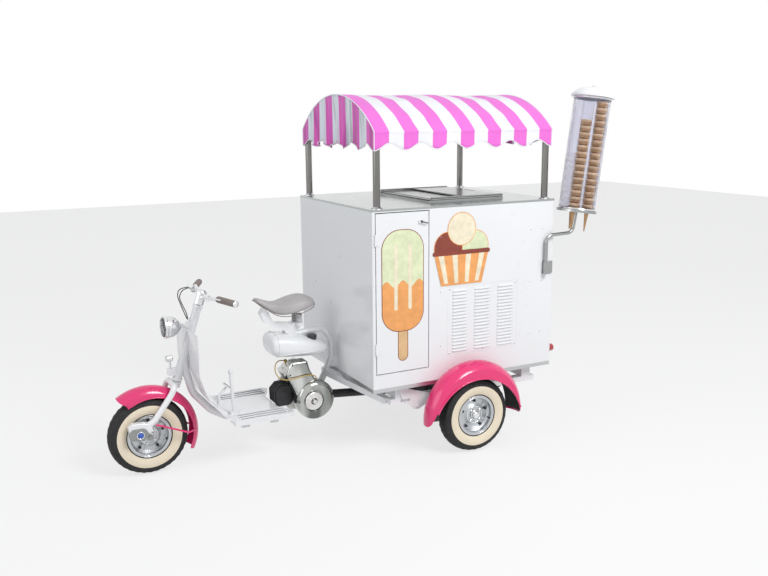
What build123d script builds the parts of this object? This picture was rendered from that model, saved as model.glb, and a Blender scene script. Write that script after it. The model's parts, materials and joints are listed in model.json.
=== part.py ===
"""Three-wheeled ice cream cart built on a motor scooter, in millimetres.

+X points forward, +Y to the vehicle's left and +Z up. The origin is on the ground,
under the middle of the vehicle's overall box. Stations along the vehicle are given as
distances forward of the rear axle, and the three plane functions below move them there.
"""

import os
from math import cos, radians, sin, sqrt, tan

from build123d import *

os.makedirs("parts", exist_ok=True)

# Wheels and tyres, a 4.00-8 size all round
wheelbase = 1664.0
rear_axle_x = -466.0
tyre_radius = 207.5
tyre_width = 100.0
tyre_crown_width = 80.0
tyre_shoulder_drop = 11.5
rim_seat_radius = 102.0
rim_seat_width = 72.0
rim_flange_height = 11.0
rim_metal = 3.0
rear_track = 1100.0
hub_drum_radius = 60.0
hub_drum_depth = 34.0
hub_bore_clearance = 0.05
rim_bolt_circle = 156.0
rim_bolt_radius = 7.0
rim_bolt_count = 5
hub_stud_circle = 76.0
hub_stud_radius = 5.0

# Rear axle, drive and springs
axle_tube_radius = 28.0
spindle_radius = 15.0
backplate_radius = 74.0
backplate_metal = 8.0
differential_radius = 82.0
propshaft_tube_radius = 24.0
spring_leaf_width = 45.0
spring_leaf_metal = 7.0
spring_leaf_count = 4
spring_half_length = 285.0
spring_sag = 24.0
spring_offset = 390.0

# Ladder chassis under the box
rail_offset = 400.0
rail_width = 50.0
rail_bottom = 291.0
rail_height = 31.0
rail_front = 450.0
rail_rear = -512.0
crossbar_width = 60.0
hanger_metal = 8.0
arm_width = 44.0
arm_height = 34.0

# Ice cream box
box_front_x = 580.0
box_length = 1160.0
box_width = 964.0
box_bottom = 391.0
box_height = 975.0
box_wall = 30.0
box_floor_height = 22.0
box_top_height = 12.0
box_corner_radius = 6.0
door_front_x = 563.0
door_rear_x = 242.0
door_bottom = 490.0
door_top_margin = 17.0
door_gap = 5.0
door_hinge_radius = 5.0
latch_inset = 52.0
latch_drop = 57.0
louvre_panel_front_x = 125.0
louvre_panel_rear_x = -335.0
louvre_panel_bottom = 540.0
louvre_panel_top = 922.0
louvre_panel_metal = 8.0
louvre_count = 19
louvre_height = 5.0
louvre_stand_out = 6.0

# Frozen well, its frame and the two sliding lids
well_front_x = 110.0
well_length = 440.0
well_width = 560.0
well_depth = 330.0
well_wall = 20.0
lid_frame_border = 24.0
lid_frame_height = 6.0
lid_frame_side = 8.0
lid_frame_side_height = 27.0
lid_ledge_width = 20.0
lid_ledge_metal = 4.0
lid_play = 0.5
lid_metal = 6.0
lid_side_overlap = 10.0
lid_overlap = 30.0
lid_grip_depth = 3.0
cooling_unit_size = (430.0, 620.0, 300.0)

# Canopy and its posts
post_radius = 19.0
post_end_inset = 47.0
post_side_inset = 37.0
post_height = 384.0
canopy_overhang = 23.0
canopy_lift = 7.0
arch_rise = 191.0
canopy_valance = 98.0
canopy_cloth = 3.0
hoop_width = 18.0
hoop_metal = 12.0
hoop_gap = 0.5
canopy_rail_angle = 17.0
canopy_rail_metal = 8.0
canopy_rail_width = 20.0

# Rear mudguards: a section turned round the rear axle, with a round wheel opening in its skirt
mudguard_metal = 3.0
mudguard_inner_radius = 268.0
mudguard_crown_out = 2.0
mudguard_crown_radius = 305.0
mudguard_crease_out = 72.0
mudguard_crease_radius = 270.0
mudguard_outer_out = 76.0
mudguard_skirt_radius = 200.0
mudguard_front_angle = -4.0
mudguard_rear_angle = 187.0
mudguard_opening_radius = 291.0
mudguard_opening_ahead = 7.5
mudguard_opening_drop = 71.5
mudguard_bead_radius = 5.0
mudguard_bead_start = 27.0
mudguard_bead_sweep = 136.0
mudguard_corner = 42.0

# Steering head and front fork
rake = 19.0
steering_foot_x = 1498.0
steering_foot_z = 477.0
head_tube_radius = 23.0
head_tube_bore_radius = 18.0
head_tube_length = 413.0
head_cup_radius = 27.0
head_cup_height = 14.0
stem_radius = 13.0
stem_clearance = 0.05
crown_gap = 5.0
crown_thickness = 30.0
crown_forward = 24.0
crown_boss_radius = 25.0
crown_bend = 28.0
clamp_radius = 26.0
clamp_height = 56.0
dome_radius = 30.0
dome_height = 26.0
fork_leg_offset = 76.0
fork_leg_radius = 16.0
fork_line = ((1549.0, 424.0), (1645.0, 296.0), (1706.0, 270.0))
fork_bends = (60.0, 44.0)
toe_profile = ((1652.0, 250.0), (1664.0, 292.0), (1701.0, 303.0), (1757.0, 306.0), (1779.0, 290.0),
               (1776.0, 262.0), (1744.0, 243.0))
toe_width = 36.0
toe_rounding = 8.0
link_pivot_x = 1721.0
link_pivot_z = 244.0
link_metal = 6.0
link_end_radius = 17.0
link_cover_x = 1730.0
link_cover_z = 247.0
link_cover_length = 96.0
link_cover_height = 62.0
link_cover_metal = 6.0
link_cap_radius = 21.0
link_cap_height = 4.0
front_axle_radius = 9.0

# Front mudguard, as a section swept round the front axle
front_guard_half_width = 54.0
front_guard_edge_radius = 195.0
front_guard_crown_radius = 265.0
front_guard_front_angle = 55.0
front_guard_rear_angle = 206.0
front_guard_corner = 24.0
front_guard_opening_radius = 208.0
front_guard_opening_behind = 24.0
front_guard_pillar_radius = 13.0
front_guard_pillar = 19.0
stay_radius = 5.0
stay_gap = 5.0
stay_line = ((1424.0, 206.0), (1472.0, 214.0), (1640.0, 286.0))
stay_bend = 20.0

# Frame tubes
down_tube_radius = 20.0
down_tube_bends = (45.0, 120.0, 110.0, 70.0)
floor_tube_z = 232.0
loop_tube_radius = 19.0
loop_tube_top_z = 656.0
loop_tube_end_x = 905.0
loop_tube_end_z = 640.0
loop_side_y = -116.0

# Leg shield and footboard
shield_metal = 4.0
shield_x = 1432.0
shield_top = 752.0
shield_half_width = 218.0
shield_foot_half_width = 240.0
shield_corner_radius = 95.0
shield_line = ((1432.0, 540.0), (1386.0, 400.0), (1296.0, 296.0))
shield_bends = (120.0, 150.0, 40.0)
floor_top = 280.0
floor_front_x = 1262.0
floor_side_x = 926.0
floor_notch_x = 985.0
floor_notch_half_width = 105.0
floor_skirt = 27.0
floor_metal = 4.0
floor_rib_height = 5.0
floor_rib_width = 9.0
floor_rib_offsets = (150.0, 181.0, 212.0)

# Engine
crank_x = 780.0
crank_z = 292.0
crankcase_radius = 88.0
crankcase_half_width = 84.0
gearcase_profile = ((780.0, 206.0), (706.0, 222.0), (686.0, 262.0), (690.0, 340.0), (722.0, 376.0),
                    (780.0, 376.0))
bell_radius = 50.0
bell_x = 646.0
fan_x = 764.0
fan_z = 286.0
fan_radius = 112.0
fan_outer_y = 150.0
fan_edge = 32.0
flywheel_x = 784.0
flywheel_z = 289.0
flywheel_radius = 52.0
flywheel_recess = 16.0
flywheel_hub_radius = 19.0
duct_profile = ((700.0, 352.0), (764.0, 412.0), (790.0, 462.0), (804.0, 516.0), (892.0, 517.0),
                (914.0, 488.0), (928.0, 452.0), (912.0, 414.0), (880.0, 350.0), (862.0, 300.0))
duct_outer_y = 124.0
duct_inner_y = 57.0
duct_edge = 14.0
barrel_tilt = 62.0
barrel_foot = 70.0
barrel_collar = 40.0
exhaust_y = -178.0
fin_count = 8
fin_pitch = 13.0
fin_metal = 4.0
cleaner_fin_count = 6
cleaner_fin_pitch = 15.0
cleaner_fin_metal = 5.0

# Tank, seat and bracket
tank_half_width = 104.0
tank_edge_radius = 30.0
tank_profile = ((996.0, 592.0), (978.0, 668.0), (890.0, 660.0), (668.0, 590.0), (650.0, 545.0),
                (722.0, 518.0), (944.0, 534.0))
tank_corner = 24.0
tank_cap_x = 745.0
tank_cap_y = 48.0
tank_cap_radius = 26.0
tank_cap_top_z = 643.0
tank_cap_height = 34.0
saddle_half_width = 112.0
saddle_nose_half_width = 34.0
bracket_half_width = 26.0
bracket_profile = ((1012.0, 812.0), (1030.0, 780.0), (1006.0, 730.0), (962.0, 696.0), (894.0, 675.0),
                   (886.0, 630.0), (826.0, 630.0), (817.0, 676.0), (795.0, 694.0), (786.0, 722.0),
                   (854.0, 711.0), (944.0, 724.0), (968.0, 746.0), (986.0, 790.0))
seat_spring_radius = 15.0
seat_spring_x = 812.0
seat_spring_y = 36.0

# Handlebar
bar_radius = 11.0
bar_z = 925.0
grip_radius = 16.0
grip_length = 132.0
bar_half_width = 328.0
bar_end_x = 1265.0
bar_elbow_x = 1322.0
bar_elbow_y = 190.0
lever_radius = 4.0
cable_radius = 2.5
cable_route = ((1374.0, -149.0, 939.0), (1422.0, -165.0, 929.0), (1440.0, -124.0, 898.0),
               (1436.0, -84.0, 866.0), (1431.0, -45.0, 832.0), (1424.0, -9.0, 799.0))
cable_spread = ((-10.0, 2.0, -3.0), (-18.0, 5.0, -6.0), (-9.0, -3.0, -5.0), (-9.0, -2.0, -5.0),
                (-14.0, 4.0, -8.0), (0.0, 18.0, 0.0))
cable_stop_radius = 5.0
cable_stop_length = 12.0
lead_radius = 3.0
lead_route = ((888.0, 0.0, 497.0), (934.0, 18.0, 509.0), (972.0, 62.0, 502.0), (991.0, 110.0, 474.0),
              (975.0, 136.0, 440.0), (934.0, 139.0, 427.0), (886.0, 137.0, 428.0), (838.0, 135.0, 434.0),
              (792.0, 134.0, 437.0), (758.0, 128.0, 422.0), (750.0, 110.0, 392.0))
plug_radius = 9.0
plug_length = 24.0

# Lamps and horn
headlamp_rim_x = 1550.0
headlamp_z = 769.0
headlamp_radius = 59.0
headlamp_length = 88.0
lens_depth = 10.0
lamp_wall = 4.0
tail_lamp_radius = 27.0
tail_lamp_length = 44.0
tail_lamp_y = 440.0
tail_lamp_z = 480.0

# Cone dispenser
dispenser_stand_off = 18.0
dispenser_foot_x = -725.0
dispenser_foot_z = 1297.0
dispenser_tilt = 8.0
dispenser_radius = 105.0
dispenser_length = 632.0
dispenser_wall = 4.0
dispenser_base_radius = 114.0
dispenser_base_metal = 14.0
dispenser_cap_radius = 122.0
dispenser_cap_height = 58.0
dispenser_arm_radius = 10.0
dispenser_lid_gap = 0.5
arm_socket_x = -517.0
arm_socket_z = 940.0
arm_elbow_z = 1160.0
arm_knee_x = -700.0
arm_bend = 42.0
stack_circle = 68.0
stack_count = 5
stack_start = 36.0
cone_pitch = 36.0
cone_mouth_radius = 30.0
cone_waist_radius = 14.0
cone_tip_radius = 5.0
cone_length = 118.0
base_hole_radius = 25.0

rear_half_track = rear_track / 2
tyre_half_width = tyre_width / 2
box_rear_x = box_front_x - box_length
box_half_width = box_width / 2
box_middle_x = (box_front_x + box_rear_x) / 2
box_top = box_bottom + box_height
wall_bottom = box_bottom + box_floor_height
wall_top = box_top - box_top_height
door_top = box_top - door_top_margin
latch_x = door_rear_x + latch_inset
latch_z = door_top - latch_drop
post_reach = box_length / 2 - post_end_inset
post_offset = box_half_width - post_side_inset
post_top = box_top + post_height
canopy_half_length = post_reach + canopy_overhang
canopy_half_width = post_offset + canopy_overhang
canopy_eave = post_top + canopy_lift
canopy_ridge = canopy_eave + arch_rise
mudguard_crown_y = rear_half_track + mudguard_crown_out
mudguard_crease_y = rear_half_track + mudguard_crease_out
mudguard_outer_y = rear_half_track + mudguard_outer_out
dispenser_y = box_half_width + dispenser_stand_off


def side(y=0.0):
    """Plane facing the vehicle's right: sketch X is forward of the rear axle, sketch Y is up."""
    return Plane(origin=(rear_axle_x, y, 0), x_dir=(1, 0, 0), z_dir=(0, -1, 0))


def across(x=0.0):
    """Plane facing forward at a station: sketch X is to the left, sketch Y is up."""
    return Plane(origin=(rear_axle_x + x, 0, 0), x_dir=(0, 1, 0), z_dir=(1, 0, 0))


def level(z=0.0):
    """Plane facing up at a height: sketch X is forward of the rear axle, sketch Y is to the left."""
    return Plane(origin=(rear_axle_x, 0, z))


def at(x, y, z):
    """Point in the vehicle's frame from its distance forward of the rear axle."""
    return Vector(rear_axle_x + x, y, z)


# Steering axis: along it, 0 is beside the fork crown and positive runs up and rearward
steering_axis = Vector(-sin(radians(rake)), 0, cos(radians(rake)))


def on_steering(s):
    """Plane square to the steering axis at a distance up it, sketch Y to the left."""
    foot = at(steering_foot_x, 0, steering_foot_z)
    return Plane(origin=foot + steering_axis * s, x_dir=(cos(radians(rake)), 0, sin(radians(rake))),
                 z_dir=steering_axis)


def tube(points, radii, radius, mode=Mode.ADD):
    """Round bar along straight runs joined by arcs, added to the part being built."""
    with BuildLine() as path:
        if radii:
            FilletPolyline(*points, radius=radii)
        else:
            Line(*points)
    with BuildSketch(Plane(origin=points[0], z_dir=points[1] - points[0])) as section:
        Circle(radius)
    sweep(sections=section.sketch, path=path.line, mode=mode)


def cord_radii(points):
    """Largest fillets that a cord's runs leave room for, one for each corner."""
    radii = []
    for before, corner, after in zip(points, points[1:], points[2:]):
        run = min((corner - before).length, (after - corner).length)
        turn = radians((corner - before).get_angle(after - corner))
        radii.append(0.45 * run / tan(turn / 2))
    return radii


def round_axle(axle_x, angle, y=0.0):
    """Plane through an axle: sketch X is to the left, sketch Y is out from it at an angle from forward."""
    turn = radians(angle)
    return Plane(origin=at(axle_x, y, tyre_radius), x_dir=(0, 1, 0), z_dir=(sin(turn), 0, -cos(turn)))


def axle_line(axle_x):
    """Axle of a wheel, pointing right, so that positive turns go from forward to up."""
    return Axis(at(axle_x, 0, tyre_radius), (0, -1, 0))


# Wheels: name, station of the axle, middle of the tyre, which way the hub faces
wheels = [
    ("front", wheelbase, 0.0, 1),
    ("rear_left", 0.0, rear_half_track, 1),
    ("rear_right", 0.0, -rear_half_track, -1),
]

for name, axle_x, centre_y, face in wheels:
    axle = Axis(at(axle_x, 0, tyre_radius), (0, 1, 0))
    spindle = front_axle_radius if name == "front" else spindle_radius

    def section_point(out, radius):
        return (centre_y + face * out, tyre_radius + radius)

    shoulder = tyre_radius - tyre_shoulder_drop
    flange_radius = rim_seat_radius + rim_flange_height
    wall_height = (flange_radius + shoulder) / 2
    bead = rim_seat_width / 2
    with BuildPart() as tyre:
        with BuildSketch(across(axle_x)):
            with BuildLine():
                Polyline(section_point(-bead, flange_radius), section_point(-bead, rim_seat_radius),
                         section_point(bead, rim_seat_radius), section_point(bead, flange_radius))
                ThreePointArc(section_point(bead, flange_radius),
                              section_point(tyre_half_width, wall_height),
                              section_point(tyre_crown_width / 2, shoulder))
                ThreePointArc(section_point(tyre_crown_width / 2, shoulder),
                              section_point(0, tyre_radius),
                              section_point(-tyre_crown_width / 2, shoulder))
                ThreePointArc(section_point(-tyre_crown_width / 2, shoulder),
                              section_point(-tyre_half_width, wall_height),
                              section_point(-bead, flange_radius))
            make_face()
        revolve(axis=axle)
    tyre.part.label = f"{name}_tyre"
    export_step(tyre.part, f"parts/{name}_tyre.step")

    # Pressed rim with a bolted disc, and the brake drum and hub it carries
    flange_out = bead + rim_metal
    seat_under = rim_seat_radius - rim_metal
    disc_out = 6.0
    bore = spindle + hub_bore_clearance
    with BuildPart() as wheel:
        with BuildSketch(across(axle_x)):
            with BuildLine():
                Polyline(
                    section_point(flange_out, flange_radius),
                    section_point(bead, flange_radius),
                    section_point(bead, rim_seat_radius),
                    section_point(-bead, rim_seat_radius),
                    section_point(-bead, flange_radius),
                    section_point(-flange_out, flange_radius),
                    section_point(-flange_out, seat_under),
                    section_point(disc_out - rim_metal * 2, seat_under),
                    section_point(disc_out - rim_metal * 2, hub_drum_radius),
                    section_point(disc_out - hub_drum_depth, hub_drum_radius),
                    section_point(disc_out - hub_drum_depth, bore),
                    section_point(disc_out + 24, bore),
                    section_point(disc_out + 24, 20),
                    section_point(disc_out + 16, 26),
                    section_point(disc_out + 12, 50),
                    section_point(disc_out + 3, hub_drum_radius),
                    section_point(disc_out, hub_drum_radius + 6),
                    section_point(disc_out, rim_seat_radius - 12),
                    section_point(disc_out + 9, seat_under),
                    section_point(flange_out, seat_under),
                    close=True)
            make_face()
        revolve(axis=axle)
        disc_face = Plane(origin=at(axle_x, centre_y + face * disc_out, tyre_radius), z_dir=(0, face, 0))
        with BuildSketch(disc_face):
            with PolarLocations(rim_bolt_circle / 2, rim_bolt_count, start_angle=20):
                Circle(rim_bolt_radius)
        extrude(amount=6)
        with BuildSketch(disc_face):
            with PolarLocations(hub_stud_circle / 2, 4, start_angle=45):
                Circle(hub_stud_radius)
        extrude(amount=22)
        if name != "front":
            with BuildSketch(disc_face.offset(24)):
                Circle(20)
            extrude(amount=9, taper=20)
    wheel.part.label = f"{name}_wheel"
    export_step(wheel.part, f"parts/{name}_wheel.step")

# Rear axle: tube, differential, brake backplates, spindles and the drive from the engine
backplate_out = rear_half_track + 6.0 - hub_drum_depth - 5.0
with BuildPart() as rear_axle:
    with BuildSketch(side(backplate_out)):
        with Locations((0, tyre_radius)):
            Circle(axle_tube_radius)
    extrude(amount=2 * backplate_out)
    with BuildSketch(across(0)):
        with BuildLine():
            diff_top = tyre_radius + differential_radius
            Line((-80, tyre_radius), (80, tyre_radius))
            Line((80, tyre_radius), (80, tyre_radius + 34))
            ThreePointArc((80, tyre_radius + 34), (0, diff_top), (-80, tyre_radius + 34))
            Line((-80, tyre_radius + 34), (-80, tyre_radius))
        make_face()
    revolve(axis=Axis(at(0, 0, tyre_radius), (0, 1, 0)))
    for outward in (1, -1):
        with BuildSketch(side(outward * backplate_out)):
            with Locations((0, tyre_radius)):
                Circle(backplate_radius)
        extrude(amount=outward * backplate_metal)
        with BuildSketch(side(outward * backplate_out)):
            with Locations((0, tyre_radius)):
                Circle(spindle_radius)
        extrude(amount=-outward * (rear_half_track + 28.0 - backplate_out))
    with BuildSketch(across(60)):
        with Locations((0, tyre_radius)):
            Circle(48)
    extrude(amount=60, taper=18)
    tube([at(60, 0, tyre_radius), at(640, 0, crank_z - 30)], None, propshaft_tube_radius)
rear_axle.part.label = "rear_axle"
export_step(rear_axle.part, "parts/rear_axle.step")

# Leaf springs over the axle tube, one pack each side
spring_seat = tyre_radius + axle_tube_radius
with BuildPart() as leaf_springs:
    for outward in (1, -1):
        for leaf in range(spring_leaf_count):
            reach = spring_half_length * (1 - 0.2 * leaf)
            seat = spring_seat + (spring_leaf_count - 1 - leaf) * spring_leaf_metal
            rise = spring_sag * (reach / spring_half_length) ** 2
            with BuildSketch(side(outward * spring_offset + spring_leaf_width / 2)):
                with BuildLine():
                    ThreePointArc((-reach, seat + rise), (0, seat), (reach, seat + rise))
                    Line((reach, seat + rise), (reach, seat + rise + spring_leaf_metal))
                    ThreePointArc((reach, seat + rise + spring_leaf_metal), (0, seat + spring_leaf_metal),
                                  (-reach, seat + rise + spring_leaf_metal))
                    Line((-reach, seat + rise + spring_leaf_metal), (-reach, seat + rise))
                make_face()
            extrude(amount=spring_leaf_width)
leaf_springs.part.label = "leaf_springs"
export_step(leaf_springs.part, "parts/leaf_springs.step")

# Chassis rails with the spring hangers below them
rail_top = rail_bottom + rail_height
with BuildPart() as chassis_rails:
    for outward in (1, -1):
        with BuildSketch(across(rail_rear)):
            with Locations((outward * rail_offset, rail_bottom + rail_height / 2)):
                Rectangle(rail_width, rail_height)
        extrude(amount=rail_front - rail_rear)
        outer = outward * rail_offset + outward * rail_width / 2
        with BuildSketch(side(outer)):
            Polygon((412, box_bottom), (192, rail_top), (192, rail_bottom), (262, 252), (281, 244),
                    (310, 250), (376, rail_bottom + 20), align=None)
        extrude(amount=-outward * hanger_metal)
        with BuildSketch(side(outer + outward * hanger_metal)):
            with Locations((360, rail_bottom + rail_height / 2)):
                RectangleRounded(58, 17, 4)
        extrude(amount=outward * (hanger_metal + 10), mode=Mode.SUBTRACT)
        with BuildSketch(side(outer + outward * hanger_metal)):
            with Locations((283, 264)):
                Circle(9)
        extrude(amount=-outward * 6)
chassis_rails.part.label = "chassis_rails"
export_step(chassis_rails.part, "parts/chassis_rails.step")

# Crossbars between the rails and the box floor
with BuildPart() as chassis_crossbars:
    for station in (rail_front - 60, 0, rail_rear + 60):
        with BuildSketch(across(station - crossbar_width / 2)):
            with Locations((0, (rail_top + box_bottom) / 2)):
                Rectangle(2 * rail_offset + rail_width - 2, box_bottom - rail_top)
        extrude(amount=crossbar_width)
chassis_crossbars.part.label = "chassis_crossbars"
export_step(chassis_crossbars.part, "parts/chassis_crossbars.step")

# Box: aluminium floor, four walls, top plate
with BuildPart() as box_floor:
    with BuildSketch(level(box_bottom)):
        with Locations((box_middle_x, 0)):
            RectangleRounded(box_length, box_width, box_corner_radius)
    extrude(amount=box_floor_height)
box_floor.part.label = "box_floor"
export_step(box_floor.part, "parts/box_floor.step")

wall_middle = (wall_bottom + wall_top) / 2
wall_rise = wall_top - wall_bottom
for node, wall_x in (("box_front", box_front_x - box_wall), ("box_rear", box_rear_x)):
    with BuildPart() as end_wall:
        with BuildSketch(across(wall_x)):
            with Locations((0, wall_middle)):
                Rectangle(box_width - 2 * box_wall, wall_rise)
        extrude(amount=box_wall)
    end_wall.part.label = node
    export_step(end_wall.part, f"parts/{node}.step")

for node, outward in (("box_left", 1), ("box_right", -1)):
    with BuildPart() as side_wall:
        with BuildSketch(side(outward * box_half_width)):
            with Locations((box_middle_x, wall_middle)):
                Rectangle(box_length, wall_rise)
            if node == "box_left":
                with Locations(((door_front_x + door_rear_x) / 2, (door_bottom + door_top) / 2)):
                    Rectangle(door_front_x - door_rear_x, door_top - door_bottom, mode=Mode.SUBTRACT)
                with Locations(((louvre_panel_front_x + louvre_panel_rear_x) / 2,
                                (louvre_panel_bottom + louvre_panel_top) / 2)):
                    Rectangle(louvre_panel_front_x - louvre_panel_rear_x,
                              louvre_panel_top - louvre_panel_bottom, mode=Mode.SUBTRACT)
        extrude(amount=outward * box_wall)
        outer_face = side_wall.faces().sort_by(Axis.Y)[-1 if outward > 0 else 0]
        ends = outer_face.outer_wire().edges().filter_by(Axis.Z)
        fillet(ends, box_corner_radius)
    side_wall.part.label = node
    export_step(side_wall.part, f"parts/{node}.step")

# Louvred panel let into the left wall: three columns of slots with pressed hoods
louvre_columns = [(1.0, 97.0), (-151.0, -45.0), (-307.0, -198.0)]
louvre_pitch = (louvre_panel_top - louvre_panel_bottom - 46) / (louvre_count - 1)
with BuildPart() as louvre_panel:
    with BuildSketch(side(box_half_width)):
        with Locations(((louvre_panel_front_x + louvre_panel_rear_x) / 2,
                        (louvre_panel_bottom + louvre_panel_top) / 2)):
            Rectangle(louvre_panel_front_x - louvre_panel_rear_x, louvre_panel_top - louvre_panel_bottom)
    extrude(amount=louvre_panel_metal)
    for rear_end, front_end in louvre_columns:
        spots = [((rear_end + front_end) / 2, louvre_panel_bottom + 23 + row * louvre_pitch)
                 for row in range(louvre_count)]
        with BuildSketch(side(box_half_width)):
            with Locations(*spots):
                Rectangle(front_end - rear_end, louvre_height)
        extrude(amount=-louvre_stand_out)
louvre_panel.part.label = "louvre_panel"
export_step(louvre_panel.part, "parts/louvre_panel.step")

# Locker door with its latch and hinge knuckles
hinge_x = door_front_x + 1.0
hinge_y = box_half_width + door_hinge_radius
with BuildPart() as side_door:
    with BuildSketch(side(box_half_width)):
        with Locations(((door_front_x + door_rear_x) / 2, (door_bottom + door_top) / 2)):
            Rectangle(door_front_x - door_rear_x - 2 * door_gap, door_top - door_bottom - 2 * door_gap)
    extrude(amount=box_wall)
    with BuildSketch(side(box_half_width)):
        with Locations((latch_x, latch_z)):
            RectangleRounded(30, 16, 5)
    extrude(amount=-10)
    for knuckle_z in (door_bottom + 140, door_top - 140):
        with BuildSketch(level(knuckle_z - 30)):
            with Locations((hinge_x, hinge_y)):
                Circle(door_hinge_radius)
            with Locations((hinge_x - 14, hinge_y - door_hinge_radius + 1.5)):
                Rectangle(28, 3)
        extrude(amount=60)
side_door.part.label = "side_door"
export_step(side_door.part, "parts/side_door.step")

# Top plate with the well cut through it
well_middle_x = well_front_x - well_length / 2
with BuildPart() as box_top_plate:
    with BuildSketch(level(wall_top)):
        with Locations((box_middle_x, 0)):
            RectangleRounded(box_length, box_width, box_corner_radius)
        with Locations((well_middle_x, 0)):
            RectangleRounded(well_length, well_width, 20, mode=Mode.SUBTRACT)
    extrude(amount=box_top_height)
box_top_plate.part.label = "box_top"
export_step(box_top_plate.part, "parts/box_top.step")

# Insulated well hung below the top plate
with BuildPart() as frozen_well:
    with BuildSketch(level(wall_top - well_depth)):
        with Locations((well_middle_x, 0)):
            RectangleRounded(well_length + 2 * well_wall, well_width + 2 * well_wall, 20 + well_wall)
    extrude(amount=well_depth)
    with BuildSketch(level(wall_top - well_depth + well_wall)):
        with Locations((well_middle_x, 0)):
            RectangleRounded(well_length, well_width, 20)
    extrude(amount=well_depth - well_wall, mode=Mode.SUBTRACT)
frozen_well.part.label = "frozen_well"
export_step(frozen_well.part, "parts/frozen_well.step")

# Cooling unit on the box floor behind the louvres
with BuildPart() as cooling_unit:
    unit_length, unit_width, unit_height = cooling_unit_size
    with BuildSketch(level(wall_bottom)):
        with Locations((well_middle_x, 0)):
            Rectangle(unit_length, unit_width)
    extrude(amount=unit_height)
    fillet(cooling_unit.edges().filter_by(Axis.Z), 20)
cooling_unit.part.label = "cooling_unit"
export_step(cooling_unit.part, "parts/cooling_unit.step")

# Raised frame round the well, with a track for each lid along both sides
lower_lid_z = box_top + lid_frame_height + lid_play
ledge_z = lower_lid_z + lid_metal + lid_play
upper_lid_z = ledge_z + lid_ledge_metal + lid_play
with BuildPart() as lid_frame:
    with BuildSketch(level(box_top)):
        with Locations((well_middle_x, 0)):
            RectangleRounded(well_length + 2 * lid_frame_border, well_width + 2 * lid_frame_border, 10)
            RectangleRounded(well_length, well_width, 20, mode=Mode.SUBTRACT)
    extrude(amount=lid_frame_height)
    for outward in (1, -1):
        side_outer = well_width / 2 + lid_frame_border
        with BuildSketch(level(box_top)):
            with Locations((well_middle_x, outward * (side_outer - lid_frame_side / 2))):
                Rectangle(well_length + 2 * lid_frame_border - 20, lid_frame_side)
        extrude(amount=lid_frame_side_height)
        with BuildSketch(level(ledge_z)):
            with Locations((well_middle_x, outward * (side_outer - lid_ledge_width / 2))):
                Rectangle(well_length + 2 * lid_frame_border - 20, lid_ledge_width)
        extrude(amount=lid_ledge_metal)
lid_frame.part.label = "lid_frame"
export_step(lid_frame.part, "parts/lid_frame.step")

# Lids: node, station of the middle, height of the underside
lid_length = well_length / 2 + lid_overlap
lid_width = well_width + 2 * lid_side_overlap
lids = [
    ("lower_lid", well_front_x + lid_frame_border / 2 - lid_length / 2, lower_lid_z),
    ("upper_lid", well_front_x - well_length - lid_frame_border / 2 + lid_length / 2, upper_lid_z),
]
for node, lid_x, lid_z in lids:
    with BuildPart() as lid:
        with BuildSketch(level(lid_z)):
            with Locations((lid_x, 0)):
                RectangleRounded(lid_length, lid_width, 8)
        extrude(amount=lid_metal)
        fillet(lid.faces().sort_by(Axis.Z)[-1].edges(), 1.5)
        with BuildSketch(level(lid_z + lid_metal)):
            grip_side = 1 if node == "lower_lid" else -1
            with Locations((lid_x + grip_side * (lid_length / 2 - 22), 0)):
                SlotOverall(120, 14, rotation=90)
        extrude(amount=-lid_grip_depth, mode=Mode.SUBTRACT)
    lid.part.label = node
    export_step(lid.part, f"parts/{node}.step")

# Canopy posts standing on the top plate
with BuildPart() as canopy_posts:
    with BuildSketch(level(box_top)):
        with Locations(*[(box_middle_x + x * post_reach, y * post_offset)
                         for x in (1, -1) for y in (1, -1)]):
            Circle(post_radius)
    extrude(amount=post_top - box_top)
canopy_posts.part.label = "canopy_posts"
export_step(canopy_posts.part, "parts/canopy_posts.step")

# The canopy's arc: its radius and centre follow from the eave, the ridge and the half width
arch_radius = (canopy_half_width ** 2 + arch_rise ** 2) / (2 * arch_rise)
arch_centre_z = canopy_ridge - arch_radius


def arch_height(y, inset):
    """Height of the canopy's arc at a distance from the middle, moved in by an inset."""
    return arch_centre_z + sqrt((arch_radius - inset) ** 2 - y ** 2)


def arch_outline(half_width, inset, foot, mode=Mode.ADD):
    """Closed outline of the arch with straight sides down to a foot, in an across() sketch."""
    eave = arch_height(half_width, inset)
    with BuildLine() as outline:
        ThreePointArc((half_width, eave), (0, arch_radius + arch_centre_z - inset), (-half_width, eave))
        Polyline((-half_width, eave), (-half_width, foot), (half_width, foot), (half_width, eave))
    return make_face(outline.line, mode=mode)


# Flat-bar hoops on the posts and at mid length, and the rails that join them
hoop_top = canopy_cloth + hoop_gap
with BuildPart() as canopy_hoops:
    for station in (-post_reach, 0, post_reach):
        with BuildSketch(across(box_middle_x + station - hoop_width / 2)):
            arch_outline(post_offset + hoop_metal / 2, hoop_top, post_top)
            arch_outline(post_offset - hoop_metal / 2, hoop_top + hoop_metal, post_top - 1, Mode.SUBTRACT)
        extrude(amount=hoop_width)
canopy_hoops.part.label = "canopy_hoops"
export_step(canopy_hoops.part, "parts/canopy_hoops.step")

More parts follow.
